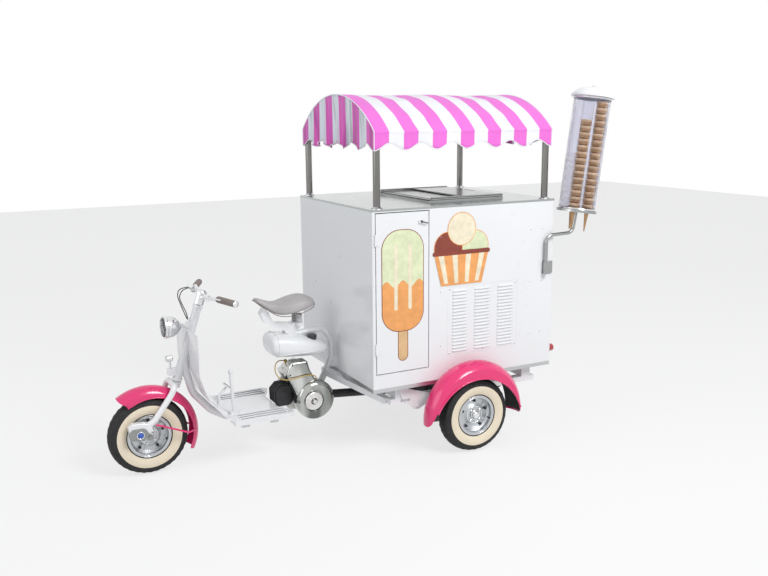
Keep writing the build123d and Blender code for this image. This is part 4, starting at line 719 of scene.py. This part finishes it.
def ink(name, colour):
    """Printed film: satin, with faint mottling."""
    material = new_material(name, colour, 0.35)
    shades(material, noise(material, 28, 5.0), colour, (0.3, 0.88), (0.7, 1.06))
    bump(material, noise(material, 200), 0.0003, 0.2)
    return material


ink_green = ink("ink_green", (0.74, 0.80, 0.52))
ink_orange = ink("ink_orange", (0.86, 0.38, 0.12))
ink_cream = ink("ink_cream", (0.88, 0.80, 0.60))
ink_brown = ink("ink_brown", (0.26, 0.05, 0.03))
ink_wood = ink("ink_wood", (0.72, 0.47, 0.24))

x, z = 0.402, 0.985
half, rise, corner = 0.122, 0.268, 0.102
stick, stick_half, stick_rise = z - rise - 0.075, 0.027, 0.087
bar = rounded_bar(x, z, half, rise, corner)
dip = [(x + half * (1 - 2 * k / 24), z - 0.015 + 0.018 * sin(2 * pi * 2.5 * k / 24)) for k in range(25)]
dip += [point for point in bar if point[1] < z - 0.04]
prints = [
    ("stick_line", rounded_bar(x, stick, stick_half + PRINT_LINE, stick_rise + PRINT_LINE,
                               stick_half + PRINT_LINE), ink_brown),
    ("stick", rounded_bar(x, stick, stick_half, stick_rise, stick_half), ink_wood),
    ("line", rounded_bar(x, z, half + PRINT_LINE, rise + PRINT_LINE, corner + PRINT_LINE), ink_brown),
    ("body", bar, ink_green),
    ("dip", dip, ink_orange),
]
for layer, (name, outline, colour) in enumerate(prints, 1):
    decal(f"lolly_{name}", "side_door", outline, layer, colour)
for groove, offset in (("left", 0.042), ("right", -0.042)):
    outline = rounded_bar(x + offset, z + 0.02, 0.010, 0.175, 0.010)
    decal(f"lolly_groove_{groove}", "side_door", outline, 6, ink_cream)

# The tub is drawn to the scale k
x, z = 0.040, 1.022
k = 1.2
radius = 0.072 * k
scoops = [(-0.070, 0.095, ink_green), (0.070, 0.095, ink_brown), (0.0, 0.178, ink_cream)]
for number, (dx, dz, colour) in enumerate(scoops):
    discs = [("scoop_line", radius + PRINT_LINE, 1, ink_orange), ("scoop", radius, 2, colour)]
    for name, size, layer, disc_ink in discs:
        disc = rounded_bar(x + k * dx, z + k * dz, size, size, size)
        decal(f"{name}_{number}", "box_left", disc, layer + 2 * number, disc_ink)
half_top, half_foot = k * 0.145, k * 0.108
tub = taper((x, z + k * 0.075), (x, z - k * 0.075), half_top, half_foot)
decal("tub", "box_left", tub, 8, ink_orange)
for stripe in range(4):
    top = (x + half_top * (stripe - 1.5) / 2, z + 0.066 * k)
    foot = (x + half_foot * (stripe - 1.5) / 2, z - 0.066 * k)
    decal(f"tub_stripe_{stripe}", "box_left", taper(top, foot, 0.014 * k, 0.010 * k), 9, ink_cream)
rim = rounded_bar(x, z + 0.072 * k, 0.152 * k, 0.012, 0.012)
decal("tub_rim", "box_left", rim, 10, ink_brown)


# Door latch and the screws of the louvred panel and the wall

def dome(bm, centre, out, radius, height):
    """Round head standing out of a flat surface."""
    matrix = Matrix.Translation(centre) @ out.to_track_quat("Z", "Y").to_matrix().to_4x4()
    made = bmesh.ops.create_uvsphere(bm, u_segments=12, v_segments=6, radius=radius, matrix=matrix)
    for vert in made["verts"]:
        offset = vert.co - centre
        along = offset.dot(out)
        vert.co -= out * along * (1 - height / radius)


PANEL_SCREWS = [(x, z) for x in (0.112, -0.105, -0.322) for z in (0.553, 0.909)]
WALL_SCREWS = [(x, z) for x in (-0.42, -0.50, 0.17) for z in (0.60, 0.90, 1.20)]


def build_screws(bm):
    for places, radius, height in ((PANEL_SCREWS, 0.005, 0.002), (WALL_SCREWS, 0.004, 0.0016)):
        for x, z in places:
            dome(bm, at(x, BOX_SIDE, z), LEFT, radius, height)


piece("side_screws", "dispenser_arm", build_screws, [steel_upright])


def build_latch(bm):
    dome(bm, at(0.294, BOX_SIDE + 0.010, 1.292), LEFT, 0.007, 0.005)
    place = Matrix.Translation(at(0.276, BOX_SIDE + 0.014, 1.286)) @ Matrix.Rotation(radians(-14), 4, "Y")
    bar = bmesh.ops.create_cube(bm, size=1.0, matrix=place @ Matrix.Diagonal((0.042, 0.005, 0.006, 1)))
    edges = {edge for vert in bar["verts"] for edge in vert.link_edges}
    bmesh.ops.bevel(bm, geom=list(edges), offset=0.0015, segments=2, affect="EDGES")


piece("latch_handle", "side_door", build_latch, [black_paint])


# Louvred panel: pressed hoods over slots, each slot a flat strip of painted shade

LOUVRE_COLUMNS = [(0.001, 0.097), (-0.151, -0.045), (-0.307, -0.198)]
LOUVRE_ROWS = 19
LOUVRE_PITCH = (0.922 - 0.540 - 0.046) / (LOUVRE_ROWS - 1)
LOUVRE_FIRST = 0.540 + 0.023
LOUVRE_REACH = 0.0058
# Distance out, as a share of the reach, and height of each point of a hood's section
LOUVRE_SECTION = [(0.0, 0.0105), (0.45, 0.009), (0.85, 0.006), (1.0, 0.0025), (1.0, 0.0), (0.75, 0.0012)]
PLATE_REAR, PLATE_FRONT, PLATE_LOW, PLATE_HIGH = -0.3345, 0.1245, 0.5405, 0.9215
PLATE_THICKNESS = 0.008
SLOT_HALF_HEIGHT = 0.0012


def build_louvres(bm):
    outline = [at(x, BOX_SIDE, z) for x, z in ((PLATE_FRONT, PLATE_LOW), (PLATE_REAR, PLATE_LOW),
                                               (PLATE_REAR, PLATE_HIGH), (PLATE_FRONT, PLATE_HIGH))]
    back = [point - LEFT * PLATE_THICKNESS for point in outline]
    grid(bm, [outline, back], closed_columns=True)
    for side in (outline, back):
        bm.faces.new([bm.verts.new(point) for point in side])
    for rear_end, front_end in LOUVRE_COLUMNS:
        for row in range(LOUVRE_ROWS):
            foot = LOUVRE_FIRST + row * LOUVRE_PITCH - 0.0045
            rows = []
            for i in range(13):
                share = i / 12
                x = rear_end + (front_end - rear_end) * share
                out = LOUVRE_REACH * min(1.0, sin(pi * share) * 3.0) ** 0.5
                rows.append([at(x, BOX_SIDE + out * lift, foot + rise) for lift, rise in LOUVRE_SECTION])
            grid(bm, rows)
            # Under each hood a flat near-black strip: painted shade in the slot.
            low, high = foot - SLOT_HALF_HEIGHT, foot + SLOT_HALF_HEIGHT
            slot = ((rear_end, low), (front_end, low), (front_end, high), (rear_end, high))
            dark = bm.faces.new([bm.verts.new(at(x, BOX_SIDE + 0.0003, z)) for x, z in slot])
            dark.material_index = 1


louvres = piece("louvre_plate", "louvre_panel", build_louvres, [box_paint, dark_gap], smooth=False)
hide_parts("louvre_panel")


# Wheels: bolt heads, hub studs, hub caps, bright rings on the disc and a valve

BOLT_HEAD = [(0, 0.0092), (0.0012, 0.0092), (0.0014, 0.0072), (0.006, 0.0068), (0.0072, 0.0052), (0.0072, 0)]
STUD_HEAD = [(-0.006, 0.0056), (0, 0.0056), (0.001, 0.0044), (0.001, 0)]
# Count, first angle, circle's radius, distance out, section and material of the bolts and of the studs
WHEEL_HEADS = [(5, 20, 0.078, 0.0118, BOLT_HEAD, 0), (4, 45, 0.038, 0.028, STUD_HEAD, 1)]
HUB_RINGS = [
    [(0.0185, 0.0520), (0.0215, 0.0505), (0.0235, 0.0470), (0.0225, 0.0440), (0.0195, 0.0430)],
    [(0.0280, 0.0300), (0.0298, 0.0292), (0.0304, 0.0272), (0.0296, 0.0252), (0.0280, 0.0245)],
]
# Distance out and radius of each bright ring
DISC_RINGS = [(0.0062, 0.088), (0.0098, 0.0585), (0.0392, 0.1128), (0.0385, 0.1035)]
VALVE_CIRCLE = 0.096
VALVE_TURN = radians(200)


def hub_cap(x, y, face):
    start = 0.0304 if x == WHEELBASE else 0.0394
    cap = [(0.0302, 0.0215), (0.0325, 0.0215), (start + 0.001, 0.0190), (start + 0.004, 0.0150),
           (start + 0.0045, 0.0100), (start + 0.0030, 0.0085), (start + 0.0060, 0.0050), (start + 0.0065, 0)]
    return [(at(x, y, AXLE_HEIGHT), LEFT * face, profile) for profile in [cap] + HUB_RINGS]


for side, x, y, face in WHEELS:
    slot = f"{side}_wheel"
    heads = [(round_axle(x, y + face * out, radius, radians(first + 360 // count * k)), LEFT * face, head, 6,
              index) for count, first, radius, out, head, index in WHEEL_HEADS for k in range(count)]
    turned_piece(f"{side}_wheel_bolts", slot, heads, [dark_iron, chrome], smooth=False)
    turned_piece(f"{side}_hub_cap", slot, hub_cap(x, y, face), [chrome])
    rings = [circle(at(x, y + face * out, AXLE_HEIGHT), LEFT, radius, 64) for out, radius in DISC_RINGS]
    line_piece(f"{side}_wheel_rings", slot, rings, 0.0012, chrome)
    foot = round_axle(x, y + face * 0.010, VALVE_CIRCLE, VALVE_TURN)
    tip = foot + Vector((-0.006 * cos(VALVE_TURN), face * 0.030, -0.006 * sin(VALVE_TURN)))
    line_piece(f"{side}_valve", slot, [[foot, tip]], 0.0032, rubber_black)


# Handlebar: ribs round the grips and domed end caps

BAR_ENDS = [(at(1.265, side * 0.328, 0.925), at(1.322, side * 0.190, 0.932) - at(1.265, side * 0.328, 0.925))
            for side in (1, -1)]
GRIP_CAP = [(0.004, 0.0168), (0.0085, 0.0168), (0.0105, 0.0150), (0.0125, 0.0100), (0.0135, 0.0040),
            (0.0135, 0)]

rib_runs = [circle(end + inward.normalized() * (0.008 + 0.0095 * k), inward, 0.0161, 24)
            for end, inward in BAR_ENDS for k in range(13)]
line_piece("grip_ribs", "grips", rib_runs, 0.0013, grip_rubber)
turned_piece("grip_caps", "handlebar", [(end, -inward, GRIP_CAP, 24) for end, inward in BAR_ENDS], [chrome])


# Rear mudguards: a dark lining on the inside of the arch

ARCH_LINING_SECTION = [(0.484, 0.2651), (0.500, 0.2804), (0.520, 0.2924), (0.545, 0.2989), (0.570, 0.2984),
                     (0.595, 0.2904), (0.612, 0.2774), (0.6205, 0.2644)]
GUARD_ENDS = (-4, 187)
GUARD_RADIUS = 0.300
GUARD_CORNER = 0.042
GUARD_CORNER_MIDDLE = 0.558


def arch_lining_row(turn):
    """Section under the guard, drawn in from its outer edge where the guard's ends are rounded."""
    left = GUARD_RADIUS * radians(min(turn - GUARD_ENDS[0], GUARD_ENDS[1] - turn)) - 0.003
    limit = ARCH_LINING_SECTION[-1][0]
    if left < GUARD_CORNER:
        limit = GUARD_CORNER_MIDDLE + sqrt(GUARD_CORNER ** 2 - (GUARD_CORNER - left) ** 2)
    row = []
    for out, radius in ARCH_LINING_SECTION:
        if out > limit:
            before = max(p for p in ARCH_LINING_SECTION if p[0] <= limit)
            after = min(p for p in ARCH_LINING_SECTION if p[0] > limit)
            share = (limit - before[0]) / (after[0] - before[0])
            out, radius = limit, before[1] + (after[1] - before[1]) * share
        row.append((out, radius))
    return row


def build_arch_lining(bm):
    for side in (1, -1):
        grid(bm, [[round_axle(0, side * out, radius, radians(turn)) for out, radius in arch_lining_row(turn)]
                  for turn in range(GUARD_ENDS[0] + 1, GUARD_ENDS[1], 2)])
    bmesh.ops.dissolve_degenerate(bm, edges=bm.edges, dist=0.00001)


piece("rear_mudguard_arch_lining", "rear_mudguards", build_arch_lining, [arch_lining_black])


# Fork ends: caps with bright rings over the link pivots, and beads along the mudguard's edges

LINK_CAP = [(-0.001, 0.0150), (0.0015, 0.0150), (0.0045, 0.0120), (0.0060, 0.0060), (0.0062, 0)]
LINK_RING = [(-0.001, 0.0205), (0.0012, 0.0200), (0.0012, 0.0160), (-0.001, 0.0155)]
GUARD_OPENING = 0.208
GUARD_OPENING_BEHIND = 0.024
GUARD_SECTION = 0.0558
GUARD_SECTION_CENTRE = 0.2092

link_caps = [(at(1.721, face * 0.106, 0.244), LEFT * face, profile, 32, material)
             for face in (1, -1) for material, profile in enumerate((LINK_CAP, LINK_RING))]
turned_piece("link_caps", "front_links", link_caps, [blue_plastic, chrome])


def guard_edge(side, turn):
    """Point of the front mudguard's cut edge at an angle from forward."""
    behind = GUARD_OPENING_BEHIND
    radius = sqrt(GUARD_OPENING ** 2 - (behind * sin(turn)) ** 2) - behind * cos(turn)
    half_width = sqrt(GUARD_SECTION ** 2 - (radius - GUARD_SECTION_CENTRE) ** 2) - 0.001
    return round_axle(WHEELBASE, side * half_width, radius, turn)


bead_runs = [[guard_edge(side, radians(turn)) for turn in range(64, 205, 2)] for side in (1, -1)]
line_piece("front_mudguard_beads", "front_mudguard", bead_runs, 0.0028, pink_paint)


# Lamps: bright rims and the glass of the side lamp

HEADLAMP_RIM = [(-0.016, 0.0592), (-0.014, 0.0612), (-0.003, 0.0618), (0.001, 0.0600), (0.001, 0.0545),
                (-0.001, 0.0525)]
SIDE_LENS = [(-0.001, 0.0150), (0.002, 0.0148), (0.005, 0.0110), (0.0065, 0.0050), (0.0068, 0)]
SIDE_RIM = [(-0.004, 0.0174), (-0.002, 0.0186), (0.0008, 0.0180), (0.0008, 0.0150)]
TAIL_RIM = [(0.0002, 0.0330), (0.004, 0.0330), (0.006, 0.0300), (0.006, 0.0268)]

turned_piece("headlamp_rim", "headlamp", [(at(1.550, 0, 0.769), FORWARD, HEADLAMP_RIM, 64)], [chrome])
side_lamp = [(at(1.5448, 0, 0.600), FORWARD, profile, 32, material)
             for material, profile in enumerate((SIDE_LENS, SIDE_RIM))]
turned_piece("side_lamp_lens", "side_lamp", side_lamp, [lamp_glass, chrome])
tail_rims = [(at(-0.580, side * 0.440, 0.480), -FORWARD, TAIL_RIM, 40) for side in (1, -1)]
turned_piece("tail_lamp_rims", "tail_lamps", tail_rims, [chrome])


# Leg shield: a bead round its edge

SHIELD_WIDE = 0.240
SHIELD_WAIST = 0.212
SHIELD_CORNER = (0.123, 0.657)
SHIELD_CORNER_RADIUS = 0.0945


def shield_edge(side):
    points = []
    for k in range(13):
        z = 0.315 + (0.500 - 0.315) * k / 12
        half = SHIELD_WIDE if z < 0.35 else SHIELD_WIDE - (SHIELD_WIDE - SHIELD_WAIST) * (z - 0.35) / 0.15
        points.append((half, z))
    points += [(SHIELD_WAIST + 0.006 * (z - 0.5) / 0.252, z) for z in (0.53, 0.56, 0.59, 0.62, 0.645)]
    points += [(SHIELD_CORNER[0] + SHIELD_CORNER_RADIUS * cos(radians(turn)),
                SHIELD_CORNER[1] + SHIELD_CORNER_RADIUS * sin(radians(turn))) for turn in range(0, 91, 9)]
    points.append((0.03, 0.7515))
    spots = [at(1.55, side * (y - 0.0015), z - 0.0005) for y, z in points]
    return cling("leg_shield", spots, -FORWARD, -0.002)


line_piece("leg_shield_bead", "leg_shield", [shield_edge(1), shield_edge(-1)], 0.0034, white_paint)


# Tank: a rounded shell with a bead along its seam, a ring round its nose and ribs round its filler cap

# Station of each section, with its top, its bottom and its half width
TANK_STATIONS = [
    (0.651, 0.562, 0.552, 0.020), (0.654, 0.578, 0.538, 0.060), (0.668, 0.594, 0.526, 0.084),
    (0.700, 0.611, 0.519, 0.098), (0.745, 0.625, 0.518, 0.103), (0.800, 0.640, 0.521, 0.104),
    (0.860, 0.653, 0.526, 0.104), (0.920, 0.663, 0.531, 0.104), (0.955, 0.667, 0.536, 0.102),
    (0.978, 0.663, 0.547, 0.096), (0.990, 0.650, 0.562, 0.084), (0.994, 0.628, 0.582, 0.060),
    (0.995, 0.612, 0.598, 0.024),
]
TANK_SEAM = 0.556
TANK_SQUARENESS = 2.9


def tank_side(top, bottom, half_width, z):
    """Half width of a tank section at a height."""
    share = min(1.0, abs(2 * z - top - bottom) / (top - bottom))
    return half_width * (1 - share ** TANK_SQUARENESS) ** (1 / TANK_SQUARENESS)


def tank_ring(station, steps):
    """Points round a section of the tank."""
    x, top, bottom, half_width = station
    points = []
    for step in range(steps):
        across, rise = cos(2 * pi * step / steps), sin(2 * pi * step / steps)
        size = (abs(across) ** TANK_SQUARENESS + abs(rise) ** TANK_SQUARENESS) ** (-1 / TANK_SQUARENESS)
        points.append(at(x, half_width * across * size, (top + bottom + (top - bottom) * rise * size) / 2))
    return points


tank_rows = [tank_ring(station, 32) for station in TANK_STATIONS]
tank = piece("fuel_tank_shell", "fuel_tank", lambda bm: grid(bm, tank_rows, closed_columns=True, capped=True),
             [white_paint])
modify(tank, "SUBSURF", levels=2, render_levels=2)
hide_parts("fuel_tank")
seam_runs = [[at(x, side * tank_side(top, bottom, half_width, TANK_SEAM), TANK_SEAM)
              for x, top, bottom, half_width in TANK_STATIONS[1:-3]] for side in (1, -1)]
nose_ring = tank_ring(TANK_STATIONS[-5], 48)
line_piece("tank_seam", "fuel_tank", seam_runs + [nose_ring + nose_ring[:1]], 0.0022, white_paint)

CAP_CENTRE = at(0.745, 0.048, 0.643)
CAP_RADIUS = 0.0262
CAP_RIB = [(-0.010, 0), (-0.010, 0.0016), (0.002, 0.0016), (0.002, 0)]
CAP_TOP = [(-0.0005, 0.0150), (0.0020, 0.0140), (0.0028, 0.0080), (0.0028, 0)]

cap_lathes = [(CAP_CENTRE + Vector((CAP_RADIUS * cos(turn), CAP_RADIUS * sin(turn), -0.006)), UP, CAP_RIB, 6)
              for turn in (2 * pi * k / 24 for k in range(24))]
turned_piece("tank_cap_grip", "tank_cap", cap_lathes + [(CAP_CENTRE, UP, CAP_TOP, 24)], [black_paint])


# Saddle springs: pale coils over dark cores, round the bracket's two posts

SPRING_STATION = 0.812
SPRING_OUT = 0.036
COIL_RADIUS = 0.0155
COIL_TURNS = 6
COIL_STEPS = 20

coil_runs = [[at(SPRING_STATION + COIL_RADIUS * cos(2 * pi * k / COIL_STEPS),
                 side * SPRING_OUT + COIL_RADIUS * sin(2 * pi * k / COIL_STEPS),
                 0.7195 + 0.044 * k / (COIL_TURNS * COIL_STEPS))
              for k in range(COIL_TURNS * COIL_STEPS + 1)] for side in (1, -1)]
line_piece("saddle_coils", "seat_bracket", coil_runs, 0.0024, white_paint)
spring_cores = [(at(SPRING_STATION, side * SPRING_OUT, 0.7165), UP, [(0, 0.0152), (0.050, 0.0152)], 24)
                for side in (1, -1)]
turned_piece("saddle_spring_cores", "seat_bracket", spring_cores, [black_paint])


# Engine: a dark ring of painted shade in the flywheel's hub recess, screws of the duct and the fan housing,
# and a ring on the fan housing

FLYWHEEL_STATION, FLYWHEEL_HEIGHT = 0.784, 0.289
HUB_RECESS_SHADE = [(0, 0.0185), (0.0012, 0.0185), (0.0012, 0.0135), (0, 0.0130)]
DUCT_SCREWS = [(0.728, 0.368), (0.815, 0.502), (0.893, 0.500), (0.908, 0.447)]
HOUSING_SCREWS = [(0.700, 0.240), (0.700, 0.330), (0.735, 0.362)]


def build_engine_trim(bm):
    # Dark ring round the hub's nut: painted shade in the recess.
    lathe(bm, at(FLYWHEEL_STATION, 0.1542, FLYWHEEL_HEIGHT), LEFT, HUB_RECESS_SHADE, 32)
    for x, z in DUCT_SCREWS:
        dome(bm, at(x, 0.1238, z), LEFT, 0.0048, 0.0034)
    for x, z in HOUSING_SCREWS:
        dome(bm, at(x, 0.0838, z), LEFT, 0.0052, 0.0040)


piece("engine_trim", "engine_cowl", build_engine_trim, [dark_iron])
fan_ring = circle(at(FLYWHEEL_STATION, 0.1500, FLYWHEEL_HEIGHT), LEFT, 0.0605, 64)
line_piece("fan_ring", "engine_cowl", [fan_ring], 0.0020, bright_alloy)


# Canopy posts: flanges with screws on the top plate, and sleeves under the hoops

POST_OUT = 0.445
FLANGE = [(0, 0.0310), (0.0030, 0.0310), (0.0042, 0.0290), (0.0048, 0.0220), (0.0120, 0.0202),
          (0.0120, 0.0188)]
SLEEVE = [(0.358, 0.0190), (0.358, 0.0204), (0.377, 0.0204), (0.377, 0.0190)]
FLANGE_SCREW_CIRCLE = 0.0262


def build_post_trim(bm):
    for end in (HOOP_SPACING, -HOOP_SPACING):
        for side in (1, -1):
            foot = at(end, side * POST_OUT, BOX_TOP)
            lathe(bm, foot, UP, FLANGE, 40)
            lathe(bm, foot, UP, SLEEVE, 40)
            for number in range(3):
                turn = radians(30 + 120 * number)
                reach = Vector((FLANGE_SCREW_CIRCLE * cos(turn), FLANGE_SCREW_CIRCLE * sin(turn), 0.0038))
                dome(bm, foot + reach, UP, 0.0026, 0.0016)


piece("post_flanges", "canopy_posts", build_post_trim, [steel_upright])


# Lid frame: dark lines of painted shade for the tracks along its outer faces

TRACK_SHARES = (0.40, 0.74)
TRACK_INSET = 0.004

low, high = (Vector(corner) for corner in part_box("lid_frame"))
rear, front = low.x + TRACK_INSET, high.x - TRACK_INSET
runs = []
for share in TRACK_SHARES:
    z = low.z + (high.z - low.z) * share
    runs += [[(rear, high.y, z), (front, high.y, z)],
             [(high.x, low.y + TRACK_INSET, z), (high.x, high.y - TRACK_INSET, z)],
             [(rear, low.y, z), (front, low.y, z)]]
line_piece("lid_tracks", "lid_frame", runs, 0.0016, dark_gap)


# Cone dispenser: guide tubes, hoops, a knob on the lid and nested cones

DISPENSER_TILT = radians(8)
DISPENSER_AXIS = Vector((-sin(DISPENSER_TILT), 0, cos(DISPENSER_TILT)))
DISPENSER_OUT = Vector((cos(DISPENSER_TILT), 0, sin(DISPENSER_TILT)))
DISPENSER_FOOT = at(-0.725, 0.500, 1.297)
DISPENSER_LENGTH = 0.632
STACK_CIRCLE = 0.068
KNOB = [(-0.001, 0.0085), (0.0015, 0.0075), (0.003, 0.0100), (0.006, 0.0110), (0.009, 0.0090),
        (0.0105, 0.0045), (0.0108, 0)]
# Guide tube and share of its length that is full, for each stack of cones
CONE_STACKS = [(0, 0.80), (1, 0.97), (3, 0.55)]
CONE_PITCH = 0.036
CONE_TIP = [(-0.118, 0), (-0.118, 0.003), (-0.014, 0.0120), (0.0, 0.0235)]
CONE_RIM = [(0.0005, 0.0225), (0.0050, 0.0235), (0.0065, 0.0262), (0.0190, 0.0278), (0.0205, 0.0300),
            (0.0330, 0.0302), (0.0345, 0.0280)]


def stack_foot(place):
    turn = radians(36 + 72 * place)
    return DISPENSER_FOOT + (DISPENSER_OUT * cos(turn) + LEFT * sin(turn)) * STACK_CIRCLE


guides = [(stack_foot(place), DISPENSER_AXIS, [(0.001, 0.0322), (0.631, 0.0322)], 24) for place in range(5)]
turned_piece("dispenser_guides", "dispenser_tube", guides, [guide_plastic])
hoops = [(DISPENSER_FOOT, DISPENSER_AXIS,
          [(foot, 0.1052), (foot + 0.001, 0.1072), (foot + 0.009, 0.1072), (foot + 0.010, 0.1052)], 64)
         for foot in (0.0, 0.622)]
turned_piece("dispenser_hoops", "dispenser_arm", hoops, [chrome])
lid_top = DISPENSER_FOOT + DISPENSER_AXIS * (DISPENSER_LENGTH + 0.0005 + 0.058)
turned_piece("dispenser_knob", "dispenser_lid", [(lid_top, DISPENSER_AXIS, KNOB, 32)], [chrome])


def cone_stack(place, share):
    """Nested wafer cones: each shows its rim above the next one's, with painted shade in the gap between
    them.
    """
    profile, materials = list(CONE_TIP), [0, 0, 0]
    for ring in range(int(DISPENSER_LENGTH * share / CONE_PITCH)):
        profile += [(ring * CONE_PITCH + along, radius) for along, radius in CONE_RIM]
        materials += [1, 1, 0, 0, 0, 2, 2]
    profile.append((profile[-1][0], 0))
    return stack_foot(place), DISPENSER_AXIS, profile, 32, materials + [2]


cones = turned_piece("wafer_cone_stacks", "wafer_cones", [cone_stack(*stack) for stack in CONE_STACKS],
                     [wafer_brown, wafer_gap_shade, wafer_pale])
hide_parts("wafer_cones")


# Floor pieces: a knob on the hand lever, lines beside the footboard's ribs and a ribbed pedal pad

LEVER_TOP = at(1.238, 0.105, 0.512)
LEVER_AXIS = Vector((0.010, 0, 0.222))
LEVER_KNOB = [(-0.012, 0.0094), (-0.010, 0.0108), (0.004, 0.0112), (0.010, 0.0080), (0.012, 0)]
turned_piece("hand_lever_knob", "hand_lever", [(LEVER_TOP, LEVER_AXIS, LEVER_KNOB, 24)], [white_paint])

rib_lines = [[at(0.970, side * y + edge, 0.2803), at(1.224, side * y + edge, 0.2803)]
             for y in (0.150, 0.181, 0.212) for side in (1, -1) for edge in (-0.0058, 0.0058)]
line_piece("footboard_lines", "footboard", rib_lines, 0.0012, dark_gap)

pad_middle = at(1.205, -0.095, 0.366) + Vector((-0.047, 0, 0.048)).normalized() * 0.0098
pad_along = Vector((0.048, 0, 0.047)).normalized()
pad_runs = [[pad_middle + pad_along * (0.005 * k - 0.015) + LEFT * side * 0.019 for side in (1, -1)]
            for k in range(7)]
line_piece("pedal_pad", "brake_pedal", pad_runs, 0.0016, rubber_black)


# Floor and light

def show_white(tree, lit, share):
    """Blend a lit shader with plain white, only as the camera, mirrors and glass see it."""
    rays = add_node(tree, "LightPath").outputs
    seen = rays["Is Camera Ray"]
    for kind in ("Is Glossy Ray", "Is Transmission Ray"):
        seen = combine(tree, seen, rays[kind], "MAXIMUM")
    plain = "Emission" if lit.type == "BSDF_PRINCIPLED" else "Background"
    white = add_node(tree, plain, (1, 1, 1, 1))
    mix = add_node(tree, "MixShader", combine(tree, seen, share, "MULTIPLY"), lit.outputs[0],
                   white.outputs[0])
    output = next(node for node in tree.nodes if node.type.startswith("OUTPUT"))
    tree.links.new(mix.outputs[0], output.inputs[0])


mesh = bpy.data.meshes.new("floor")
bm = bmesh.new()
bmesh.ops.create_grid(bm, x_segments=1, y_segments=1, size=14)
bm.to_mesh(mesh)
bm.free()
material = new_material("floor", (0.80, 0.80, 0.80), 0.9)
bump(material, noise(material, 60), 0.0004, 0.1)
show_white(material.node_tree, shader_of(material), 0.72)
mesh.materials.append(material)
new_object("floor", mesh)


def area_light(name, place, target, size, power):
    data = bpy.data.lights.new(name, "AREA")
    data.shape = "DISK"
    data.size = size
    data.energy = power
    light = new_object(name, data)
    light.location = place
    aim = Vector(target) - Vector(place)
    light.rotation_euler = aim.to_track_quat("-Z", "Y").to_euler()


area_light("key", (-1.5, 5.0, 5.5), (0, 0, 0.8), 3.0, 300)
area_light("fill", (5.5, 1.0, 3.0), (0, 0, 0.8), 4.0, 60)

world = bpy.data.worlds.new("world")
bpy.context.scene.world = world
world.use_nodes = True
background = world.node_tree.nodes["Background"]
background.inputs["Color"].default_value = (0.93, 0.95, 1.0, 1)
background.inputs["Strength"].default_value = 0.46
show_white(world.node_tree, background, 1.0)
bpy.context.scene.view_settings.view_transform = "Standard"
